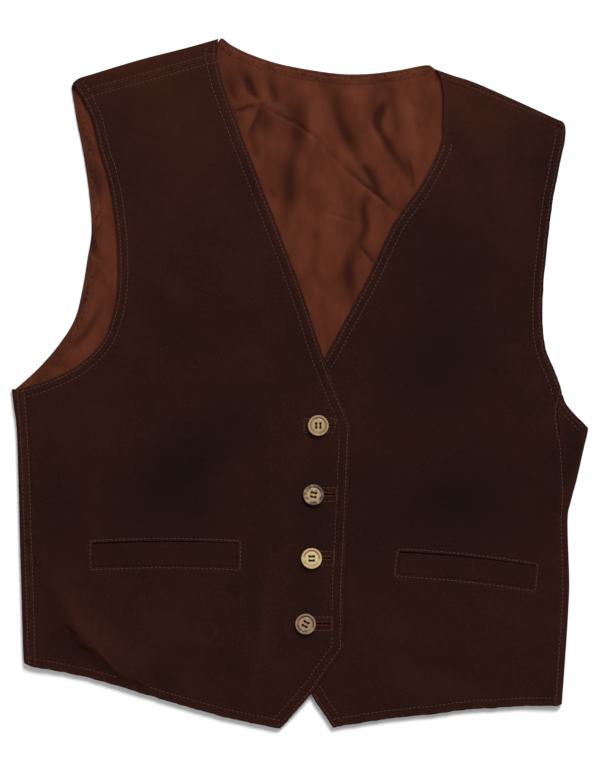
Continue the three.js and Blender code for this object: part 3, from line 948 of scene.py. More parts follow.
@dataclass
class Wall:
    """A wall of cloth with rounded edges, closed but for its joined edges.

    Args:
        outline: The piece's outline.
        top: The height of its upper face at points in the plane.
        thickness: Its thickness.
        weave: How finely it is meshed.
        holes: The outlines of the windows cut in it, counter-clockwise.
        extra: Lines of further points to mesh through.
        under: How far its lower face is drawn in at points in the plane.
        tone_and_painted_light: How much its colour is lightened or darkened at points in the plane, by tone
            marks and painted light and shade.
    """

    outline: Outline
    top: Height
    thickness: float
    weave: Weave
    holes: Sequence[Outline] = ()
    extra: Sequence[Array] = ()
    under: Height | None = None
    tone_and_painted_light: Height | None = None

    def hole_distance(self, xy: Array) -> Array:
        """Give each point's distance to the nearest hole."""
        found = [nearest(xy, hole.closed).distance for hole in self.holes]
        return np.minimum.reduce(found) if found else np.full(len(xy), NO_HOLE)

    def clearance(self, xy: Array) -> Array:
        """Give each point's distance to the nearest edge, a hole's or its own."""
        return np.minimum(nearest(xy, self.outline.closed).distance, self.hole_distance(xy))

    def in_cloth(self, xy: Array) -> Array:
        """Say which points lie in the cloth, and not in a hole."""
        cut_out = [inside(xy, hole.loop) for hole in self.holes] or [[False]]
        return inside(xy, self.outline.loop) & ~np.any(cut_out, axis=0)

    def rings(self) -> list[Array]:
        """Give the rings of points that run along its edges."""
        runs = [(self.outline, offset) for offset in self.weave.rings]
        runs += [(hole, -offset) for hole in self.holes for offset in HOLE_RINGS]
        found = []
        for rim, offset in runs:
            points = rim.ring(offset)
            clear = self.clearance(points) > abs(offset) - RING_SLACK
            found.append(points[self.in_cloth(points) & clear])
        return found

    def grid(self, lines: Sequence[Array]) -> Array:
        """Give even points over the rest of it, clear of some lines of points."""
        grid = hexagons(self.outline.loop, self.weave.spacing)
        if self.weave.fine:
            fine = hexagons(self.outline.loop, self.weave.fine_spacing)
            grid = np.vstack([grid[~self.weave.fine(grid)], fine[self.weave.fine(fine)]])
        grid = grid[self.in_cloth(grid)]
        inner = nearest(grid, self.outline.closed).distance > self.weave.rings[-1] + LINE_CLEARANCE
        grid = grid[inner & (self.hole_distance(grid) > HOLE_CLEARANCE)]
        return grid[nearest_points(grid, np.vstack(lines)) > LINE_CLEARANCE] if lines else grid

    def plan(self) -> tuple[Array, Array]:
        """Mesh it in the plane.

        Returns:
            Its points, one row each, and the triangles between them.
        """
        lines = [line[self.in_cloth(line) & (self.clearance(line) > RIM_CLEARANCE)] for line in self.extra]
        loops = [self.outline.loop, *(hole.loop for hole in self.holes)]
        constraints, start = [], 0
        for loop in loops:
            count = len(loop)
            constraints += [(start + k, start + (k + 1) % count) for k in range(count)]
            start += count
        flat = np.vstack([*loops, *self.rings(), self.grid(lines), *lines])
        found = delaunay_2d_cdt([Vector(p) for p in flat], constraints, [], 0, 1e-4)
        xy = np.array([tuple(v) for v in found[0]])
        triangles = np.array(found[2])
        triangles = triangles[self.in_cloth(xy[triangles].mean(axis=1))]
        used, numbers = np.unique(triangles, return_inverse=True)
        return xy[used], numbers.reshape(-1, 3)

    def add_to(self, sheet: Sheet) -> None:
        """Mesh its two faces and add them to a sheet."""
        xy, triangles = self.plan()
        outline, holes = self.outline, self.hole_distance(xy)
        edge = nearest(xy, outline.closed)
        free = outline.free()
        if free.all():
            on_joint, free_distance = np.zeros(len(xy), dtype=bool), edge.distance
        else:
            on_joint = nearest_points(xy, outline.loop[outline.joints()]) < ON_RIM
            runs = np.diff(outline.closed, axis=0)
            free_distance = nearest_stretch(xy, outline.loop[free], runs[free]).distance
        rim_distance = np.minimum(free_distance, holes)
        ease = np.array([owner.ease for owner in outline.edges])[outline.owner[edge.segment]]
        if self.holes:
            ease = np.where(holes < free_distance, self.holes[0].edges[0].ease, ease)
        curl = 1 - np.sqrt(1 - np.clip(1 - rim_distance / ease, 0, 1) ** 2)
        curl[on_joint] = 0

        height, half = self.top(xy), self.thickness / 2
        wear = np.minimum(edge.distance, holes)
        drawn = self.under(xy) * np.clip(wear / RIM_CLEARANCE, 0, 1) if self.under else 0
        # Tone marks and painted light and shade, which the finish blends into the colour.
        tone_shift = np.clip(self.tone_and_painted_light(xy), -1, 1) if self.tone_and_painted_light else np.zeros(len(xy))
        shared = (rim_distance < ON_RIM) & ~on_joint
        below = np.where(shared, np.arange(len(xy)), len(xy) + np.cumsum(~shared) - 1)
        upper = np.column_stack([xy, height - np.minimum(half, 0.5 * ease) * curl])
        lower = np.column_stack([xy, height - self.thickness + half * curl + drawn])[~shared]
        faces = [tuple(t) for t in triangles] + [tuple(below[t[::-1]]) for t in triangles]
        wear, tone_shift = (np.concatenate([values, values[~shared]]) for values in (wear, tone_shift))
        sheet.add(np.vstack([upper, lower]), faces, wear, tone_shift)


def hexagons(loop: Array, spacing: float) -> Array:
    """Give points in even rows over the box of a loop."""
    low, high = loop.min(axis=0), loop.max(axis=0)
    levels = np.arange(low[1], high[1], spacing * math.sqrt(3) / 2)
    rows = []
    for j, y in enumerate(levels):
        x = np.arange(low[0] + (j % 2) * spacing / 2, high[0], spacing)
        rows.append(np.column_stack([x, np.full(len(x), y)]))
    return np.vstack(rows)


def nearest_points(xy: Array, others: Array) -> Array:
    """Give each point's distance to the nearest of some other points."""
    found = []
    for part in np.array_split(xy, max(1, len(xy) * len(others) // 4_000_000)):
        found.append(np.sqrt(((part[:, None] - others[None]) ** 2).sum(axis=2).min(axis=1)))
    return np.concatenate(found)


# Finishes.


class NodeSheet:
    """Short calls for laying out the nodes of one material."""

    def __init__(self, name: str) -> None:
        """Start a material with its shader and its object coordinates."""
        self.material = bpy.data.materials.new(name)
        self.material.use_nodes = True
        self.nodes = self.material.node_tree.nodes
        self.links = self.material.node_tree.links
        self.shader = self.nodes["Principled BSDF"]
        self.place = self.add("ShaderNodeTexCoord").outputs["Object"]

    def add(self, kind: str, **settings: object) -> bpy.types.Node:
        """Add a node with its settings."""
        node = self.nodes.new(kind)
        for name, value in settings.items():
            setattr(node, name, value)
        return node

    def feed(self, socket: bpy.types.NodeSocket, value: object) -> None:
        """Link an output to a socket, or set the socket's value."""
        if isinstance(value, bpy.types.NodeSocket):
            self.links.new(value, socket)
        else:
            socket.default_value = value

    def noise(self, scale: float, detail: float = 2.0, roughness: float = 0.5, at: object = None) -> object:
        """Give noise between 0 and 1, with so many swells a metre."""
        node = self.add("ShaderNodeTexNoise")
        self.feed(node.inputs["Vector"], at or self.place)
        node.inputs["Scale"].default_value = scale
        node.inputs["Detail"].default_value = detail
        node.inputs["Roughness"].default_value = roughness
        return node.outputs["Fac"]

    def span(self, value: object, low: float, high: float, start: float = 0.0, end: float = 1.0) -> object:
        """Stretch a value's range from low and high to start and end."""
        node = self.add("ShaderNodeMapRange")
        for name, number in (("From Min", low), ("From Max", high), ("To Min", start), ("To Max", end)):
            node.inputs[name].default_value = number
        self.feed(node.inputs["Value"], value)
        return node.outputs["Result"]

    def attribute(self, name: str) -> object:
        """Give the number that a mesh holds for each of its points."""
        return self.add("ShaderNodeAttribute", attribute_name=name).outputs["Fac"]

    def spot(self, place: Point, radius: float) -> object:
        """Give 1 at a place seen from above, falling to 0 at a radius round it, both in metres."""
        local = self.add("ShaderNodeMapping", vector_type="POINT")
        local.inputs["Location"].default_value = (-place[0], -place[1], 0)
        self.feed(local.inputs["Vector"], self.place)
        flat = self.add("ShaderNodeVectorMath", operation="MULTIPLY")
        self.feed(flat.inputs[0], local.outputs["Vector"])
        flat.inputs[1].default_value = (1, 1, 0)
        reach = self.add("ShaderNodeVectorMath", operation="LENGTH")
        self.feed(reach.inputs[0], flat.outputs["Vector"])
        return self.span(reach.outputs["Value"], 0.2 * radius, radius, 1.0, 0.0)

    def blend(self, share: object, first: object, second: object, how: str = "MIX") -> object:
        """Blend two colours by a share."""
        node = self.add("ShaderNodeMix", data_type="RGBA", blend_type=how)
        self.feed(node.inputs["Factor"], share)
        self.feed(node.inputs[6], first)
        self.feed(node.inputs[7], second)
        return node.outputs[2]

    def math(self, how: str, first: object, second: object) -> object:
        """Work out one number from two."""
        node = self.add("ShaderNodeMath", operation=how)
        self.feed(node.inputs[0], first)
        self.feed(node.inputs[1], second)
        return node.outputs[0]

    def bump(self, height: object, depth: float, strength: float = 1.0, under: object = None) -> object:
        """Give the normal of a surface raised by a height of so many metres."""
        node = self.add("ShaderNodeBump")
        node.inputs["Distance"].default_value = depth
        node.inputs["Strength"].default_value = strength
        self.feed(node.inputs["Height"], height)
        if under is not None:
            self.feed(node.inputs["Normal"], under)
        return node.outputs["Normal"]

    def set(self, **values: object) -> None:
        """Set or link the shader's sockets by name, with _ for a space."""
        for name, value in values.items():
            self.feed(self.shader.inputs[name.replace("_", " ")], value)


Colour = tuple[float, float, float, float]


@dataclass(frozen=True)
class SuedeFinish:
    """Napped split leather: soft patches, a fine pile, worn edges, and painted highlight and shade.

    Args:
        deep: The colour of its darker patches, where the fibres lie away.
        body: The colour of most of it.
        worn_and_highlight: The colour of its worn edges, lighter specks and lighter bands, and of its painted
            highlights.
        shade: The darkest colour, of its painted shade and its other dark bands.
    """

    deep: Colour = (0.0125, 0.0046, 0.0038, 1)
    body: Colour = (0.0190, 0.0056, 0.0038, 1)
    worn_and_highlight: Colour = (0.0400, 0.0112, 0.0065, 1)
    shade: Colour = (0.0085, 0.0038, 0.0034, 1)

    def material(self, name: str) -> bpy.types.Material:
        """Make the material."""
        lay = NodeSheet(name)
        patches = lay.span(lay.noise(13, 3, 0.55), 0.32, 0.68)
        mottle = lay.span(lay.noise(60, 3, 0.5), 0.35, 0.72)
        speckle = lay.span(lay.noise(430, 4, 0.7), 0.38, 0.66)
        colour = lay.blend(patches, self.deep, self.body)
        colour = lay.blend(lay.math("MULTIPLY", mottle, 0.14), colour, self.worn_and_highlight)
        colour = lay.blend(lay.math("MULTIPLY", speckle, 0.22), colour, self.worn_and_highlight)
        edge = lay.attribute("edge_distance")
        worn = lay.math("MULTIPLY", lay.span(edge, 0.0, 5.0, 0.7, 0.0), lay.span(lay.noise(160, 3), 0.3, 0.7))
        colour = lay.blend(worn, colour, self.worn_and_highlight)
        # Painted light and shade: lighter above 0, as the painted highlight on crease crests, and darker
        # below 0, as the painted shade below them and in broad patches.
        tone_and_painted_light = lay.attribute("tone_and_painted_light")
        colour = lay.blend(lay.span(tone_and_painted_light, 0, 1, 0, 0.75), colour, self.worn_and_highlight)
        colour = lay.blend(lay.span(tone_and_painted_light, 0, -1, 0, 0.9), colour, self.shade)
        # Lighter towards the shoulders, in its soft patches.
        height = lay.add("ShaderNodeSeparateXYZ")
        lay.feed(height.inputs[0], lay.place)
        tone_shift = lay.math("MULTIPLY", lay.span(height.outputs["Y"], 0.06, 0.27, 0, 0.5), patches)
        colour = lay.blend(tone_shift, colour, self.worn_and_highlight)
        grain = lay.span(lay.noise(1300, 3, 0.75), 0.32, 0.68)
        colour = lay.blend(0.75, colour, lay.blend(grain, (0.5, 0.5, 0.5, 1), (1.5, 1.5, 1.5, 1)), "MULTIPLY")
        fibres = lay.bump(lay.noise(1100, 4, 0.7), 0.0004)
        lay.set(
            Base_Color=colour,
            Roughness=0.93,
            Sheen_Weight=0.05,
            Sheen_Roughness=0.4,
            Sheen_Tint=(0.6, 0.3, 0.2, 1),
            Specular_IOR_Level=0.035,
            Normal=lay.bump(lay.noise(150, 3, 0.6), 0.0006, 0.5, fibres),
        )
        return lay.material


@dataclass(frozen=True)
class SatinFinish:
    """Acetate lining: a fine weave with a soft gloss, and painted shade in its creases.

    Args:
        body: The colour of most of it.
        faded: The colour of its paler patches.
        crease_shade: The colour of the painted shade deep in its creases and between its gathers.
    """

    body: Colour = (0.056, 0.0142, 0.0070, 1)
    faded: Colour = (0.084, 0.0220, 0.0112, 1)
    crease_shade: Colour = (0.017, 0.0048, 0.0034, 1)

    def material(self, name: str) -> bpy.types.Material:
        """Make the material."""
        lay = NodeSheet(name)
        streaked = lay.add("ShaderNodeMapping")
        streaked.inputs["Scale"].default_value = (1.6, 0.7, 1)
        lay.feed(streaked.inputs["Vector"], lay.place)
        swells = lay.noise(38, 4, 0.6, streaked.outputs["Vector"])
        colour = lay.blend(lay.span(swells, 0.36, 0.64), self.body, self.faded)
        # Painted shade: darker in the creases and between the gathers.
        colour = lay.blend(lay.span(lay.attribute("tone_and_painted_light"), 0, -1, 0, 0.95), colour, self.crease_shade)
        weave = lay.add("ShaderNodeTexWave", wave_type="BANDS", bands_direction="DIAGONAL")
        lay.feed(weave.inputs["Vector"], lay.place)
        weave.inputs["Scale"].default_value = 700
        lay.set(
            Base_Color=colour,
            Roughness=0.48,
            Specular_IOR_Level=0.10,
            Specular_Tint=(1.0, 0.30, 0.17, 1),
            Sheen_Weight=0.04,
            Sheen_Roughness=0.35,
            Sheen_Tint=(0.9, 0.45, 0.3, 1),
            Normal=lay.bump(weave.outputs["Fac"], 0.00006, 0.6, lay.bump(lay.noise(240, 3), 0.0002, 0.5)),
        )
        return lay.material


class ThreadShade(Enum):
    """The colours of the threads."""

    TAN = (0.052, 0.0275, 0.0205, 1)
    DARK = (0.016, 0.0065, 0.0048, 1)
    BLACK = (0.0035, 0.0025, 0.0022, 1)
    RED_BROWN = (0.075, 0.024, 0.017, 1)


@dataclass(frozen=True)
class ThreadFinish:
    """Spun thread, with the twist of its plies.

    Args:
        shade: Its colour.
    """

    shade: ThreadShade

    def material(self, name: str) -> bpy.types.Material:
        """Make the material."""
        lay = NodeSheet(name)
        body = self.shade.value
        pale = tuple(1.5 * c for c in body[:3]) + (1,)
        twist = lay.span(lay.noise(2600, 2), 0.35, 0.65)
        lay.set(
            Base_Color=lay.blend(twist, body, pale),
            Roughness=0.7,
            Specular_IOR_Level=0.15,
            Sheen_Weight=0.05,
            Normal=lay.bump(twist, 0.00008, 0.7),
        )
        return lay.material


@dataclass(frozen=True)
class HornFinish:
    """Polished mottled horn, with a band round its raised middle.

    Args:
        middle: The colour of the raised middle.
        band: The colour of the groove round it.
        rim: The colour of the rim.
        streak: The colour of the dark streaks.
        streaks: How much of the button is streaked, from 0 to 1.
    """

    middle: Colour
    band: Colour
    rim: Colour
    streak: Colour
    streaks: float

    def material(self, name: str, centre: Vector, radius: float) -> bpy.types.Material:
        """Make the material.

        Args:
            name: The material's name.
            centre: The button's middle, in metres.
            radius: The button's radius, in metres.

        Returns:
            The material.
        """
        lay = NodeSheet(name)
        reach = lay.math("SUBTRACT", 1.0, lay.spot((centre.x, centre.y), radius))
        wander = lay.math("MULTIPLY", lay.math("SUBTRACT", lay.noise(240, 3), 0.5), 0.22)
        ringed = lay.math("ADD", reach, wander)
        colour = lay.blend(lay.span(ringed, 0.56, 0.61), self.middle, self.band)
        colour = lay.blend(lay.span(ringed, 0.74, 0.79), colour, self.rim)
        clouds = lay.span(lay.noise(120, 3, 0.6), 0.50, 0.62, 0, 0.9)
        colour = lay.blend(clouds, colour, self.middle)
        grain = lay.span(lay.noise(330, 4, 0.7), 0.60 - 0.12 * self.streaks, 0.70)
        colour = lay.blend(lay.math("MULTIPLY", grain, 0.75), colour, self.streak)
        lay.set(
            Base_Color=colour,
            Roughness=0.34,
            Specular_IOR_Level=0.3,
            Coat_Weight=0.2,
            Coat_Roughness=0.15,
            Subsurface_Weight=0.05,
            Subsurface_Radius=(0.0015, 0.0009, 0.0005),
            Normal=lay.bump(lay.noise(900, 2), 0.00004, 0.5),
        )
        return lay.material


# Sewing.


@dataclass(frozen=True)
class Stitch:
    """The size of one stitch and the distance to the next.

    Args:
        length: Its length.
        width: Its thickness.
        pitch: How far the next one's middle is from its own.
    """

    length: float = 2.6
    width: float = 0.56
    pitch: float = 3.4

    def model(self) -> tuple[Array, list[tuple[int, ...]]]:
        """Model one stitch about the origin, along x, with its ends bent down.

        Returns:
            Its points in millimetres, and its faces.
        """
        deselect()
        lying = (0, math.pi / 2, 0)
        bpy.ops.mesh.primitive_uv_sphere_add(segments=6, ring_count=4, radius=0.5, rotation=lying)
        bpy.ops.object.transform_apply(rotation=True)
        piece = bpy.context.object
        points = np.array([tuple(v.co) for v in piece.data.vertices])
        faces = [tuple(p.vertices) for p in piece.data.polygons]
        bpy.data.objects.remove(piece)
        full = np.sign(points[:, 0]) * np.abs(2 * points[:, 0]) ** 0.8 / 2
        bend = 0.45 * self.width * (2 * np.abs(full)) ** 3
        sides = points[:, 1:] * self.width
        return np.column_stack([full * self.length, sides[:, 0], sides[:, 1] - bend]), faces


@dataclass
class Sewing:
    """Rows of stitches that are made as one piece.

    Args:
        name: The piece's name.
        shade: The thread's colour.
        stitch: The stitch that is repeated.
        rows: The lines that are sewn, each with the height of the cloth under it.
        gap: How far apart a line's points are where no stitch is laid between them.
        uneven: How much the stitches differ in length, as a share of it.
        stray: How far their ends stray, in millimetres.
    """

    name: str
    shade: ThreadShade = ThreadShade.TAN
    stitch: Stitch = Stitch()
    rows: list[tuple[Array, Height]] = field(default_factory=list)
    gap: float = 6.0
    uneven: float = 0.12
    stray: float = 0.07

    def sew(self, line: Array, height: Height) -> None:
        """Add a row of stitches.

        Args:
            line: The line that it follows.
            height: The cloth's height at points in the plane.
        """
        if len(line) > 1:
            self.rows.append((line, height))

    def lay(self, shape: Array, start: Array, end: Array) -> Array | None:
        """Lay one stitch from a point to another.

        Args:
            shape: The stitch's points about the origin.
            start: Where it starts.
            end: Where it ends.

        Returns:
            Its points in place, or None where the two are too near each other.
        """
        run = end - start
        size = np.linalg.norm(run)
        if size < 0.6 * self.stitch.length:
            return None
        forward = run / size
        across = np.array([-forward[1], forward[0], 0]) / max(np.hypot(*forward[:2]), 1e-6)
        up = np.cross(forward, across)
        middle = (start + end) / 2 + np.array([0, 0, 0.3 * self.stitch.width])
        return middle + shape[:, :1] * forward + shape[:, 1:2] * across + shape[:, 2:] * up

    def build(self) -> bpy.types.Object:
        """Make the stitches of all rows.

        Returns:
            The piece.
        """
        shape, faces = self.stitch.model()
        sheet = Sheet()
        hand = np.random.default_rng(len(self.rows))
        for line, height in self.rows:
            lengths = np.linalg.norm(np.diff(line, axis=0), axis=1)
            travel = np.concatenate([[0], np.cumsum(lengths)])
            count = max(1, int(travel[-1] // self.stitch.pitch))
            at = (np.arange(count) + 0.5) * travel[-1] / count
            at = at[lengths[np.searchsorted(travel, at) - 1] < self.gap]
            half = self.stitch.length / 2 * (1 + self.uneven * hand.standard_normal(len(at)))
            ends = []
            for off in (-half, half):
                end = np.column_stack([np.interp(at + off, travel, line[:, k]) for k in (0, 1)])
                end = end + self.stray * hand.standard_normal(end.shape)
                ends.append(np.column_stack([end, height(end)]))
            for start, end in zip(*ends):
                placed = self.lay(shape, start, end)
                if placed is not None:
                    sheet.add(placed, faces)
        piece = sheet.make(self.name)
        dress(piece, ThreadFinish(self.shade).material(self.name + "_thread"))
        return piece


def deselect() -> None:
    """Leave nothing selected, and no edit mode open."""
    if bpy.context.object and bpy.context.object.mode != "OBJECT":
        bpy.ops.object.mode_set(mode="OBJECT")
    bpy.ops.object.select_all(action="DESELECT")


def joined(parts: Sequence[bpy.types.Object], name: str) -> bpy.types.Object:
    """Join mesh objects into one that is smooth and has no material.

    Args:
        parts: The objects.
        name: The name of the one that they become.

    Returns:
        The object.
    """
    deselect()
    for part in parts:
        part.select_set(True)
    bpy.context.view_layer.objects.active = parts[0]
    bpy.ops.object.join()
    whole = bpy.context.object
    whole.name = name
    bpy.ops.object.shade_smooth()
    return whole


def dress(piece: bpy.types.Object, material: bpy.types.Material, node: str | None = None) -> None:
    """Give a piece its material, attach it to the root, and hide the solid that it stands for.

    Args:
        piece: The piece.
        material: Its material.
        node: The solid that it stands for, if any.
    """
    piece.data.materials.clear()
    piece.data.materials.append(material)
    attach(piece, ROOT)
    if node:
        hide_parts(node)


def sewn_relief(distance: Array, rows: Sequence[float]) -> Array:
    """Give how far cloth is pulled down along rows of stitches, and puffed up between them.

    Args:
        distance: The distance of each point from the edge.
        rows: How far inside the edge each row lies.

    Returns:
        The height that is added.
    """
    lift = np.zeros(len(distance))
    for row in rows:
        lift -= ROW_DIP[0] * np.exp(-(((distance - row) / ROW_DIP[1]) ** 2))
    if len(rows) == 2:
        middle = sum(rows) / 2
        lift += ROW_PUFF[0] * np.exp(-(((distance - middle) / ROW_PUFF[1]) ** 2))
    return lift


def edge_relief(xy: Array, outline: Outline) -> Array:
    """Give the relief that the sewing along an outline's edges makes.

    Args:
        xy: The points in the plane.
        outline: The outline, with its edges' rows.

    Returns:
        The height that is added at each point.
    """
    near = nearest(xy, outline.closed)
    owner = outline.owner[near.segment]
    lift = np.zeros(len(xy))
    for i, edge in enumerate(outline.edges):
        mine = (owner == i) & edge.shows(xy)
        if edge.rows and mine.any():
            lift[mine] = sewn_relief(near.distance[mine], edge.rows)
    # The sewing leaves a faint unevenness in a band along the edge.
    band = fade(np.abs(near.distance - 5), 12)
    return lift + band * 0.16 * ripple(xy, 9, 3.1)


# Pieces of the waistcoat.


def declare_cloth(
    cut: Outline, sewn: Sequence[bpy.types.Object] = ()
) -> None:
    """Work out the width and length of a piece of laid cloth, and do nothing more with them.

    Args:
        cut: The outline that it was cut to.
        sewn: The separate pieces that are on it; not used.
    """
    width, length = cut.size()


@dataclass(frozen=True)
class Pocket:
    """A welt pocket: a window in the front, with a strip of suede in it below the hand slit.

    Args:
        node: The welt's solid.
        centre: The middle of the window.
        length: The window's length.
        height: The window's height.
        turn: Its turn in degrees.
        bow: How far its long edges bow upward in the middle.
        slit: How far the hand slit gapes at its right end.
        sag: How much further it gapes at its left end.
        sewn_margin: How far outside the window its stitches run.
    """

    node: str
    centre: Point
    length: float
    height: float
    turn: float
    bow: float = 1.6
    slit: float = 0.4
    sag: float = 0.9
    sewn_margin: float = 1.9

    def rectangle(self, left: float, bottom: float, right: float, top: float, sag: float = 0.0) -> Outline:
        """Give a bowed rectangle in the pocket's own directions.

        Args:
            left: Its left side, from the window's middle.
            bottom: Its bottom.
            right: Its right side.
            top: Its top.
            sag: How far the top's left end hangs.

        Returns:
            The outline, counter-clockwise, in the waistcoat's plane.
        """
        c, s = math.cos(math.radians(self.turn)), math.sin(math.radians(self.turn))

        def place(u: float, v: float) -> Point:
            v += self.bow * (1 - (2 * u / self.length) ** 2) - self.bow / 2
            return self.centre[0] + u * c - v * s, self.centre[1] + u * s + v * c

        across = np.linspace(left, right, 9)[1:]
        back = np.linspace(right, left, 9)[1:]
        return Outline(
            (
                Edge("bottom", [place(u, bottom) for u in across], ease=SEAM_EASE),
                Edge("right", [place(right, top)], smooth=False, ease=SEAM_EASE),
                Edge("top", [place(u, top - sag * (0.5 - u / self.length)) for u in back]),
                Edge("left", [place(left, bottom)], smooth=False, ease=SEAM_EASE),
            ),
            step=1.2,
        )

    def window(self) -> Outline:
        """Give the window's outline."""
        return self.rectangle(-self.length / 2, -self.height / 2, self.length / 2, self.height / 2)

    def build(self, floor: Height, front_top: Height, prefix: str) -> list[bpy.types.Object]:
        """Build the welt, the facing behind the slit, and the sewing round the window.

        Args:
            floor: The height of the front's underside.
            front_top: The height of the front's upper face.
            prefix: The start of the pieces' names.

        Returns:
            The sewing, which lies on the front.
        """
        half_length, half_height = self.length / 2 - WELT_GAP, self.height / 2
        slit = half_height - self.slit
        welt_line = self.rectangle(-half_length, WELT_GAP - half_height, half_length, slit, self.sag)

        def welt_top(xy: Array) -> Array:
            roll = 0.35 * fade(nearest(xy, welt_line.stretch("top")).distance, 5)
            return floor(xy) + SUEDE_WALL - 0.25 + roll + 0.12 * ripple(xy, 11, 7.7)

        # The welt is darker all over, and darker still within 4 mm of its edges.
        def welt_darkening(xy: Array) -> Array:
            return -0.25 - 0.4 * fade(nearest(xy, welt_line.closed).distance, 4)

        sheet = Sheet()
        weave = Weave(2.2, (0.2, 0.5, 0.9, 1.4, 2.0))
        Wall(welt_line, welt_top, SUEDE_WALL, weave, tone_and_painted_light=welt_darkening).add_to(sheet)
        welt = sheet.make("suede_" + self.node)
        dress(welt, SuedeFinish().material(self.node + "_suede"), self.node)
        declare_cloth(welt_line)

        facing_line = self.rectangle(-half_length - 3, half_height - 9, half_length + 3, half_height + 5)
        sheet = Sheet()
        Wall(facing_line, lambda xy: floor(xy) - 0.05, 0.5, Weave(4, (0.6,))).add_to(sheet)
        facing = sheet.make(prefix + "_pocket_facing")
        dress(facing, SuedeFinish().material(prefix + "_facing_suede"))
        declare_cloth(facing_line)

        right, top = self.length / 2 + self.sewn_margin, half_height + self.sewn_margin
        box = self.rectangle(-right, -top, right, top)
        rounded = sum(np.roll(box.loop, k, axis=0) for k in range(-2, 3)) / 5
        sewing = Sewing(prefix + "_pocket_stitching")
        sewing.sew(np.vstack([rounded, rounded[:1]]), front_top)
        return [sewing.build()]


BINDING = SuedeFinish(deep=(0.027, 0.0078, 0.0055, 1), body=(0.040, 0.0112, 0.0072, 1))


@dataclass
class Buttonhole:
    """A bound buttonhole: two rolled lips in a slot, with rows of stitches round them.

    Args:
        number: Its number from the neck.
        end: Where its slot ends towards the edge.
        level: Its height up the front.
        length: The slot's length.
        width: The slot's width.
        lip: The thickness of each lip.
        apart: How far each lip's middle is from the slot's.
        frame_height: The height of the stitched rectangle round it.
        frame_length: The rectangle's length.
        frame_end: How far the rectangle goes past the slot's end.
    """

    number: int
    end: float
    level: float
    length: float = 21.4
    width: float = 5.0
    lip: float = 2.05
    apart: float = 1.4
    frame_height: float = 11.0
    frame_length: float = 25.3
    frame_end: float = 2.3

    def slot(self) -> Outline:
        """Give the slot's outline."""
        left, right = self.end - self.length, self.end
        low, high = self.level - self.width / 2, self.level + self.width / 2
        return Outline(
            (
                Edge("bottom", [(right, low)], smooth=False),
                Edge("right", [(right, high)], smooth=False),
                Edge("top", [(left, high)], smooth=False),
                Edge("left", [(left, low)], smooth=False),
            ),
            step=1.0,
        )

    def frame_row(self) -> Array:
        """Give the closed rectangle of stitches round the slot."""
        right = self.end + self.frame_end
        left = right - self.frame_length
        low, high = self.level - self.frame_height / 2, self.level + self.frame_height / 2
        return straight([(left, low), (right, low), (right, high), (left, high), (left, low)], 1.5)

    def roll(self, side: int, level: float) -> bpy.types.Object:
        """Build one lip, a thin roll that sways a little.

        Args:
            side: 1 for the upper lip, -1 for the lower one.
            level: The height of the front's upper face there.

        Returns:
            The lip.
        """
        centre = (
            (self.end - self.length / 2 + ORIGIN[0]) * MM,
            (self.level + side * self.apart + ORIGIN[1]) * MM,
            (level - 0.62) * MM,
        )
        bpy.ops.mesh.primitive_cylinder_add(
            vertices=14,
            radius=self.lip / 2 * MM,
            depth=(self.length - 0.3) * MM,
            location=centre,
            rotation=(0, math.pi / 2, 0),
        )
        roll = bpy.context.object
        bpy.ops.object.transform_apply(location=True, rotation=True, scale=True)
        bpy.ops.object.mode_set(mode="EDIT")
        bpy.ops.mesh.select_all(action="SELECT")
        bpy.ops.mesh.bisect(plane_co=centre, plane_no=(1, 0, 0))
        bpy.ops.mesh.select_all(action="SELECT")
        bpy.ops.mesh.subdivide(number_cuts=1)
        bpy.ops.object.mode_set(mode="OBJECT")
        for vert in roll.data.vertices:
            sway = 0.10 * noise.noise(Vector((vert.co.x * 400, side * 3.0, self.number)))
            vert.co.z += sway * MM
        return roll

    def build(self, front_top: Height) -> None:
        """Build the lips.

        Args:
            front_top: The height of the front's upper face.
        """
        level = float(front_top(np.array([[self.end + 6, self.level]]))[0])
        deselect()
        lips = joined([self.roll(side, level) for side in (-1, 1)], f"buttonhole_lips_{self.number}")
        dress(lips, BINDING.material(lips.name + "_suede"))


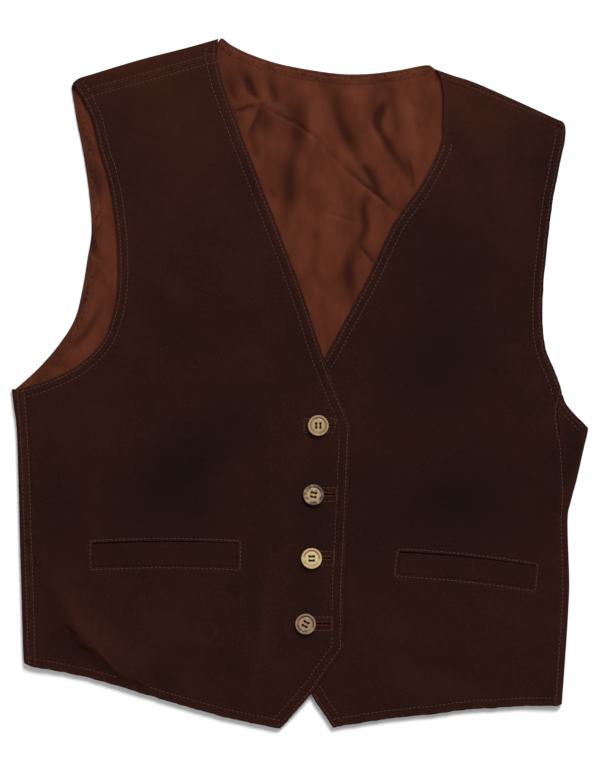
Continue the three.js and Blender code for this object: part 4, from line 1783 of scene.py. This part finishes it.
@dataclass
class Front:
    """One front of the waistcoat.

    Args:
        node: Its solid.
        outline: The outline that it was cut to.
        floor: The height of its underside.
        pocket: Its welt pocket.
        buttonholes: The buttonholes cut in it.
        rests_on: What it lies on; not used.
        sewn: The neighbouring edges that each pair of rows runs along.
    """

    node: str
    outline: Outline
    floor: Height
    pocket: Pocket
    buttonholes: list[Buttonhole]
    rests_on: tuple[str, ...]
    sewn: tuple[tuple[str, ...], ...]

    def top(self, xy: Array) -> Array:
        """Give the height of its upper face."""
        height = self.floor(xy) + SUEDE_WALL + edge_relief(xy, self.outline) + lift_all(xy, FRONT_CREASES)
        room = np.clip(nearest(xy, self.outline.closed).distance / 12, 0, 1)
        height += room * (0.32 * ripple(xy, 46, 1.3) + 0.14 * ripple(xy, 19, 5.2))
        around = nearest(xy, self.pocket.window().closed).distance
        height += 0.5 * fade(around, 26) + sewn_relief(around, (self.pocket.sewn_margin,))
        for hole in self.buttonholes:
            height -= 0.3 * np.exp(-((nearest(xy, hole.frame_row()).distance / 0.8) ** 2))
        return height

    def detailed(self, xy: Array) -> Array:
        """Say which points lie near the sharp crease, or on the mark of a rim."""
        marked = [np.linalg.norm(xy - middle, axis=1) < radius + 2 for middle, radius in RIM_MARKS]
        return np.any([*marked, nearest(xy, SHARP_CREASE.curve()).distance < 9], axis=0)

    def build(self) -> None:
        """Build the front, its pocket, buttonholes and sewing."""
        holes = [self.pocket.window(), *(hole.slot() for hole in self.buttonholes)]
        extra = [crease.curve() for crease in FRONT_CREASES]
        extra += [hole.frame_row() for hole in self.buttonholes]
        sheet = Sheet()
        weave = Weave(fine=self.detailed, fine_spacing=1.1)
        Wall(self.outline, self.top, SUEDE_WALL, weave, holes, extra, tone_and_painted_light=front_tone_and_painted_light).add_to(sheet)
        piece = sheet.make("suede_" + self.node)
        dress(piece, SuedeFinish().material(self.node + "_suede"), self.node)
        sewing = Sewing(self.node + "_topstitching")
        for names in self.sewn:
            for row in self.outline.edges[self.outline.index(names[0])].rows:
                sewing.sew(self.outline.row(row, *names), self.top)
        for hole in self.buttonholes:
            sewing.sew(hole.frame_row(), self.top)
            hole.build(self.top)
        prefix = self.node.removesuffix("_front")
        on_cloth = [sewing.build(), *self.pocket.build(self.floor, self.top, prefix)]
        declare_cloth(self.outline, on_cloth)
        LOG.info("%s: %d faces", self.node, len(piece.data.polygons))


@dataclass
class Back:
    """The back, with its sides and shoulders folded round to the front.

    Args:
        node: Its solid.
        step: The distance between the points along its folds.
        bends: How many flat stretches make up the half-round of a fold.
    """

    node: str = "back"
    step: float = 2.0
    bends: int = 8

    def __post_init__(self) -> None:
        """Work out the outline of the flat of the back."""
        right_side, right_shoulder, left_shoulder, left_side = (
            edge.columns(self.step)[0] for edge in FOLDED_EDGES
        )
        self.outline = Outline(
            (
                Edge("hem", [*BACK_HEM, right_side[0]], smooth=False, rows=HEM_ROWS),
                Edge("right_side", right_side[1:], joined=True),
                Edge("right_armhole", [*BACK_RIGHT_ARMHOLE, right_shoulder[0]], rows=ARMHOLE_ROWS),
                Edge("right_shoulder", right_shoulder[1:], joined=True),
                Edge("neck", [*BACK_NECK, left_shoulder[0]], rows=EDGE_ROWS),
                Edge("left_shoulder", left_shoulder[1:], joined=True),
                Edge("left_armhole", [*BACK_LEFT_ARMHOLE, left_side[0]], rows=ARMHOLE_ROWS),
                Edge("left_side", left_side[1:], joined=True),
            )
        )

    def build(self) -> None:
        """Build the back and the sewing on its folded edges."""

        def level(xy: Array) -> Array:
            return np.full(len(xy), SUEDE_WALL)

        def drawn_in(xy: Array) -> Array:
            return np.maximum(-edge_relief(xy, self.outline), 0)

        sheet = Sheet()
        weave = Weave(5.0, (0.25, 0.6, 1.1, 1.8, 2.4, 3.2, 5.6, 6.6, 7.8, 9.2, 10.2))
        Wall(self.outline, level, SUEDE_WALL, weave, under=drawn_in).add_to(sheet)
        sewing = Sewing("back_topstitching")
        for name in ("hem", "neck", "left_armhole", "right_armhole"):
            for row in self.outline.edges[self.outline.index(name)].rows:
                sewing.sew(self.outline.row(row, name), drawn_in)
        area = self.outline.area()
        for edge in FOLDED_EDGES:
            area += self.turn_over(sheet, edge, sewing)
        piece = sheet.make("suede_" + self.node, seal=True)
        dress(piece, SuedeFinish().material(self.node + "_suede"), self.node)
        tuple((size + extra) * MM for size, extra in zip(self.outline.size(), FOLDED_EXTRA))
        sewing.build()
        LOG.info("%s: %d faces", self.node, len(piece.data.polygons))

    def turn_over(self, sheet: Sheet, edge: FoldedEdge, sewing: Sewing) -> float:
        """Add one folded edge: the bend, and the strip that lies on top.

        Args:
            sheet: Where the mesh is added.
            edge: The folded edge.
            sewing: Where its stitches are added.

        Returns:
            The flat area of the bend and the strip.
        """
        start, seam, inward = edge.columns(self.step)
        self.bend(sheet, start, inward)
        seam_rows = (edge.row,) if edge.row else ()
        strip = Outline(
            (
                Edge("fold", start[1:], joined=True),
                Edge("head", [*edge.head, seam[-1]], smooth=False, rows=edge.ends[1]),
                Edge("seam", seam[::-1][1:], smooth=False, rows=seam_rows, ease=SEAM_EASE),
                Edge("tail", [start[0]], smooth=False, rows=edge.ends[0]),
            )
        )

        def strip_top(xy: Array) -> Array:
            relief = np.zeros(len(xy))
            for sewn in strip.edges:
                relief += 0.8 * sewn_relief(nearest(xy, strip.stretch(sewn.name)).distance, sewn.rows)
            return STRIP_TOP + relief * np.clip(nearest(xy, strip.stretch("fold")).distance / 1.5, 0, 1)

        # The same tone marks and painted light and shade as on the fronts.
        def strip_tone_and_painted_light(xy: Array) -> Array:
            return lift_all(xy, PAINTED_LIGHT_AND_TONE_MARKS)

        weave = Weave(1.8, (0.25, 0.6, 1.1, 1.8, 2.6))
        Wall(strip, strip_top, SUEDE_WALL, weave, tone_and_painted_light=strip_tone_and_painted_light).add_to(sheet)
        for sewn in strip.edges:
            for row in sewn.rows:
                line = strip.row(row, sewn.name)
                sewing.sew(line[inside(line, strip.loop)], strip_top)
        bend_length = math.pi * (FOLD_RADIUS - SUEDE_WALL / 2)
        return strip.area() + bend_length * np.linalg.norm(np.diff(start, axis=0), axis=1).sum()

    def bend(self, sheet: Sheet, start: Array, inward: Array) -> None:
        """Add the half-round bend of one folded edge, closed at its two ends.

        Args:
            sheet: Where the mesh is added.
            start: The points where the bend's arc starts.
            inward: The unit vectors from the fold to the seam.
        """
        angles = np.linspace(0, math.pi, self.bends + 1)
        count = len(start)
        shells = []
        for radius in (FOLD_RADIUS, FOLD_RADIUS - SUEDE_WALL):
            for a in angles:
                level = np.full(count, FOLD_RADIUS - radius * math.cos(a))
                shells.append(np.column_stack([start - radius * math.sin(a) * inward, level]))
        inner = count * len(angles)
        faces = []
        for base, turn in ((0, 1), (inner, -1)):
            for j in range(self.bends):
                for i in range(count - 1):
                    quad = [base + (j + dj) * count + i + di for dj, di in ((0, 0), (0, 1), (1, 1), (1, 0))]
                    faces.append(tuple(quad[::turn]))
        for i in (0, count - 1):
            for j in range(self.bends):
                a, b = j * count + i, (j + 1) * count + i
                faces.append((a, b, inner + b, inner + a))
        sheet.add(np.vstack(shells), faces)


@dataclass
class Lining:
    """The satin lining of the back, creased where it shows in the neck and the armhole.

    Args:
        back: The back that it lines.
        node: Its solid.
        wall: Its thickness.
        lowest: How far above its solid's underside its upper face stays.
    """

    back: Back
    node: str = "back_lining"
    wall: float = 0.8
    lowest: float = 0.75

    def outline(self) -> Outline:
        """Give the lining's outline, inside the back's edges and above its hem."""
        loop = self.back.outline.ring(LINING_INSET)
        (ax, ay), (bx, by) = LINING_HEM
        above = loop[loop[:, 1] > ay + (loop[:, 0] - ax) * (by - ay) / (bx - ax)]
        turn = int(np.argmax(np.linalg.norm(np.roll(above, -1, axis=0) - above, axis=1))) + 1
        rolled = np.roll(above, -turn, axis=0)
        hem = straight([rolled[-1], rolled[0]], 3.0)
        return Outline((Edge("cut", np.vstack([rolled[1:], hem[1:]]), smooth=False, ease=0.6),), step=3.0)

    def top(self, xy: Array) -> Array:
        """Give the height of its upper face."""
        height = LINING_BOTTOM + LINING_WALL + lift_all(xy, LINING_FOLDS) + lift_all(xy, LINING_CREASES)
        near = nearest(xy, self.back.outline.closed)
        owner = self.back.outline.owner[near.segment]
        for name in ("neck", "left_armhole", "right_armhole"):
            mine = owner == self.back.outline.index(name)
            band = np.where(mine, fade(near.distance, 14), 0)
            relief = sewn_relief(near.distance, LINING_ROWS)
            height += band * (0.8 * relief + 0.40 * ripple(xy, 2.6, 2.2))
        room = np.clip(near.distance / 10, 0, 1)
        height += room * (0.30 * ripple(xy, 30, 8.1) + 0.16 * ripple(xy, 12, 4.4))
        return np.maximum(height, LINING_BOTTOM + self.lowest)

    def lining_shade_and_patches(self, xy: Array) -> Array:
        """Give the painted shade of the lining at each point, below 0: deep in its creases and between the
        gathers at its edge, with darker random patches and darker towards the neck.
        """
        near = nearest(xy, self.back.outline.closed)
        gathers = fade(np.abs(near.distance - 5.2), 4.5) * np.clip(ripple(xy, 2.6, 2.2), -1, 0)
        depth = 1.15 * lift_all(xy, LINING_CREASES) + 0.4 * ripple(xy, 22, 9.3)
        depth = depth - 0.35 * fade(250 - xy[:, 1], 80)
        return np.minimum(depth / DEEPEST, 0) + 0.8 * gathers

    def shown(self, xy: Array) -> Array:
        """Say which points the fronts leave open to view, or nearly."""
        fronts = (RIGHT_FRONT_LINE, LEFT_FRONT_LINE)
        return ~np.any([inside(xy, f.loop) & (nearest(xy, f.closed).distance > 10) for f in fronts], axis=0)

    def build(self) -> None:
        """Build the lining and its dark stitching."""
        cut = self.outline()
        extra = []
        for crease in LINING_CREASES:
            curve = crease.curve()
            normal = to_the_left(np.gradient(curve, axis=0))
            extra += [curve + off * normal for off in (-3.0, -1.5, 0.0, 1.5, 3.0)]
        sheet = Sheet()
        weave = Weave(6.0, (0.3, 0.8, 1.4, 2.0, 2.7, 3.4, 4.4, 5.6, 6.8, 7.8, 8.8), self.shown, 1.55)
        Wall(cut, self.top, self.wall, weave, extra=extra, tone_and_painted_light=self.lining_shade_and_patches).add_to(sheet)
        piece = sheet.make("satin_" + self.node)
        dress(piece, SatinFinish().material("satin_lining"), self.node)
        sewing = Sewing("back_lining_stitching", ThreadShade.DARK)
        for name in ("neck", "left_armhole", "right_armhole"):
            for row in LINING_ROWS:
                sewing.sew(self.back.outline.row(row, name), self.top)
        declare_cloth(cut, [sewing.build()])
        LOG.info("%s: %d faces", self.node, len(piece.data.polygons))


@dataclass
class Button:
    """A turned four-hole button, and the thread through it.

    Args:
        number: Its number from the neck.
        turn: The direction of its thread bars, in degrees.
        finish: Its horn.
        steps: The width and the rise of each step of its face, from the rim inward.
        hole: The radius of its sewing holes.
        spread: The distance between the middles of neighbouring holes.
        fill: The share of its solid's radius that it fills.
        rounding: How far its corners are rounded.
        strands: How far from the middle of a bar each strand of thread lies.
        strand: How much longer than the spread a strand is, its width and its height.
        rise: How far the strands' middles are above the face.
    """

    number: int
    turn: float
    finish: HornFinish
    steps: tuple[Point, ...] = ((1.35, 0.0), (0.8, -0.75), (0.3, -0.3), (0.3, 0.0), (0.4, 0.35), (1.6, -0.12))
    hole: float = 1.12
    spread: float = 3.4
    fill: float = 0.97
    rounding: float = 0.34
    strands: tuple[float, ...] = (-0.38, 0.0, 0.38)
    strand: tuple[float, float, float] = (1.9, 0.55, 0.85)
    rise: float = 0.22

    def build(self) -> None:
        """Build the button where its solid is."""
        node = f"button_{self.number}"
        low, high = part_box(node)
        centre = (Vector(low) + Vector(high)) / 2
        radius = self.fill * (high[0] - low[0]) / 2
        thickness = high[2] - low[2]
        deselect()
        bpy.ops.mesh.primitive_cylinder_add(vertices=72, radius=radius, depth=thickness, location=centre)
        disc = bpy.context.object
        disc.name = f"horn_button_{self.number}"
        bpy.ops.object.transform_apply(location=True, rotation=True, scale=True)
        bpy.ops.object.mode_set(mode="EDIT")
        bpy.ops.mesh.select_mode(type="FACE")
        self.pick(disc, lambda face: face.normal.z > 0.9)
        for width, rise in self.steps:
            bpy.ops.mesh.inset(thickness=width * MM, depth=rise * MM)
        bpy.ops.mesh.select_all(action="DESELECT")
        self.pick(disc, lambda face: face.normal.z < -0.9)
        bpy.ops.mesh.inset(thickness=1.6 * MM, depth=0)
        bpy.ops.object.mode_set(mode="OBJECT")
        bevel = disc.modifiers.new("rounding", "BEVEL")
        bevel.width = self.rounding * MM
        bevel.segments = 3
        bevel.limit_method = "ANGLE"
        bevel.angle_limit = math.radians(24)
        bpy.ops.object.modifier_apply(modifier=bevel.name)
        self.drill(disc, centre, thickness)
        bpy.ops.object.shade_smooth_by_angle(angle=math.radians(35))
        dress(disc, self.finish.material(disc.name, centre, radius), node)
        self.sew_on(Vector((centre.x, centre.y, high[2] + sum(rise for _, rise in self.steps) * MM)))
        LOG.info("button %d: %d faces", self.number, len(disc.data.polygons))

    def pick(self, disc: bpy.types.Object, wanted: Callable[[bmesh.types.BMFace], bool]) -> None:
        """Select the faces that are wanted, and no others."""
        bm = bmesh.from_edit_mesh(disc.data)
        bm.faces.ensure_lookup_table()
        for face in bm.faces:
            face.select_set(wanted(face))
        bmesh.update_edit_mesh(disc.data)

    def offsets(self) -> list[tuple[float, float]]:
        """Give the four holes' places from the middle, in metres, a pair to each bar."""
        c, s = math.cos(math.radians(self.turn)), math.sin(math.radians(self.turn))
        half = self.spread / 2 * MM
        return [(u * c - v * s, u * s + v * c) for v in (-half, half) for u in (-half, half)]

    def drill(self, disc: bpy.types.Object, centre: Vector, thickness: float) -> None:
        """Cut the four sewing holes through the disc."""
        for dx, dy in self.offsets():
            deselect()
            bpy.ops.mesh.primitive_cylinder_add(
                vertices=20, radius=self.hole * MM, depth=3 * thickness, location=centre + Vector((dx, dy, 0))
            )
            bit = bpy.context.object
            deselect()
            disc.select_set(True)
            bpy.context.view_layer.objects.active = disc
            cut = disc.modifiers.new("hole", "BOOLEAN")
            cut.operation = "DIFFERENCE"
            cut.object = bit
            bpy.ops.object.modifier_apply(modifier=cut.name)
            bpy.data.objects.remove(bit)

    def sew_on(self, top: Vector) -> None:
        """Build the thread bars between the holes.

        Args:
            top: The middle of the button's dished face.
        """
        places = self.offsets()
        turned = (0, 0, math.radians(self.turn))
        longer, width, height = self.strand
        parts = []
        for pair in (places[:2], places[2:]):
            for strand in self.strands:
                a, b = (Vector((x, y, 0)) for x, y in pair)
                across = (b - a).cross(Vector((0, 0, 1))).normalized() * strand * MM
                middle = top + (a + b) / 2 + across + Vector((0, 0, self.rise * MM))
                deselect()
                bpy.ops.mesh.primitive_uv_sphere_add(
                    segments=10, ring_count=8, radius=0.5, location=middle, rotation=turned
                )
                bar = bpy.context.object
                bar.scale = ((self.spread + longer) * MM, width * MM, height * MM)
                bpy.ops.object.transform_apply(location=True, rotation=True, scale=True)
                parts.append(bar)
        bars = joined(parts, f"button_thread_{self.number}")
        dress(bars, ThreadFinish(ThreadShade.BLACK).material(bars.name))


@dataclass
class Studio:
    """The floor, the lights and the camera, as the photograph has them.

    Args:
        picture: The photograph's width and height in pixels.
        pixel: How many millimetres one pixel shows.
        middle: What the picture's middle shows, in the frame of part.mjs.
        distance: How high the camera is, in metres.
        sensor: The height of its sensor.
    """

    picture: tuple[int, int] = (600, 765)
    pixel: float = 0.81
    middle: Point = (0.0, -0.4)
    distance: float = 2.6
    sensor: float = 24.0

    def build(self) -> None:
        """Build the studio."""
        self.floor()
        self.light("key_light", (0.9, 2.3, 2.6), 1.5, 156.0)
        self.light("fill_light", (-1.5, -0.4, 1.9), 2.0, 8.0)
        world = bpy.data.worlds.new("studio")
        bpy.context.scene.world = world
        world.use_nodes = True
        world.node_tree.nodes["Background"].inputs["Color"].default_value = (1, 1, 1, 1)
        world.node_tree.nodes["Background"].inputs["Strength"].default_value = 0.40
        self.camera()
        view = bpy.context.scene.view_settings
        view.view_transform = "Standard"
        view.look = "None"
        view.exposure = 0.0
        view.gamma = 1.0

    def floor(self) -> None:
        """Build the pale floor."""
        deselect()
        bpy.ops.mesh.primitive_plane_add(size=6, location=(0, 0, -0.0003))
        floor = bpy.context.object
        floor.name = "floor"
        lay = NodeSheet("floor_paper")
        lay.set(
            Base_Color=lay.blend(lay.noise(3, 2), (0.93, 0.93, 0.93, 1), (0.95, 0.95, 0.95, 1)),
            Roughness=0.9,
            Specular_IOR_Level=0.1,
        )
        floor.data.materials.append(lay.material)

    def light(self, name: str, place: tuple[float, float, float], size: float, power: float) -> None:
        """Add a soft square light that faces the waistcoat.

        Args:
            name: The light's name.
            place: Where it stands, in metres.
            size: The length of its sides, in metres.
            power: Its power in watts.
        """
        lamp = bpy.data.lights.new(name, "AREA")
        lamp.size = size
        lamp.energy = power
        obj = bpy.data.objects.new(name, lamp)
        obj.location = place
        obj.rotation_euler = (-Vector(place)).to_track_quat("-Z", "Y").to_euler()
        bpy.context.scene.collection.objects.link(obj)

    def camera(self) -> None:
        """Add the camera, straight above, with the photograph's frame."""
        lens = bpy.data.cameras.new("camera")
        lens.sensor_fit = "VERTICAL"
        lens.sensor_height = self.sensor
        lens.lens = self.sensor * self.distance / (self.picture[1] * self.pixel * MM)
        eye = bpy.data.objects.new("camera", lens)
        eye.location = (*((m + o) * MM for m, o in zip(self.middle, ORIGIN)), self.distance)
        bpy.context.scene.collection.objects.link(eye)
        bpy.context.scene.camera = eye


RIGHT_POCKET = Pocket("right_pocket_welt", (-108.9, -139.2), 117.5, 19.8, 0.0)
LEFT_POCKET = Pocket("left_pocket_welt", (134.7, -151.2), 110.5, 18.6, -6.1)
BUTTONHOLES = [
    Buttonhole(1, 26.3, -35.1),
    Buttonhole(2, 27.5, -91.0),
    Buttonhole(3, 25.5, -142.4),
    Buttonhole(4, 23.5, -195.4),
]
# Each button's turn in degrees, the browns of its middle, band, rim and streaks, and how streaked it is.
BUTTON_LOOKS = (
    (90, ((0.33, 0.23, 0.11), (0.15, 0.09, 0.04), (0.30, 0.20, 0.095), (0.12, 0.07, 0.035)), 0.3),
    (-10, ((0.35, 0.25, 0.125), (0.04, 0.024, 0.016), (0.080, 0.054, 0.046), (0.05, 0.028, 0.017)), 0.8),
    (0, ((0.50, 0.38, 0.19), (0.23, 0.13, 0.06), (0.42, 0.29, 0.145), (0.24, 0.14, 0.065)), 0.2),
    (-27, ((0.27, 0.18, 0.095), (0.07, 0.035, 0.02), (0.20, 0.125, 0.085), (0.07, 0.035, 0.02)), 0.5),
)
BUTTONS = tuple(
    Button(number, turn, HornFinish(*((*brown, 1) for brown in browns), streaks))
    for number, (turn, browns, streaks) in enumerate(BUTTON_LOOKS, start=1)
)


def dress_shanks() -> None:
    """Give the thread shanks under the buttons their thread."""
    for number in range(1, 5):
        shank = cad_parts[f"button_shank_{number}"]
        finish = ThreadFinish(ThreadShade.RED_BROWN).material(shank.name + "_thread")
        for slot in shank.material_slots:
            slot.material = finish


def main() -> None:
    """Build the waistcoat and its studio."""
    logging.basicConfig(level=logging.INFO, format="%(name)s: %(message)s")
    Studio().build()
    back = Back()
    back.build()
    Lining(back).build()
    Front(
        "left_front",
        LEFT_FRONT_LINE,
        GROUND.under,
        LEFT_POCKET,
        [],
        ("back_lining",),
        (("neck",), ("armhole",), ("shoulder",), ("side",), ("hem",), ("cutaway",)),
    ).build()
    Front(
        "right_front",
        RIGHT_FRONT_LINE,
        GROUND.over,
        RIGHT_POCKET,
        BUTTONHOLES,
        ("back_lining", "left_front"),
        (("cutaway", "centre", "neck"), ("armhole",), ("shoulder",), ("side",), ("hem",)),
    ).build()
    for button in BUTTONS:
        button.build()
    dress_shanks()


if __name__ == "__main__":
    main()
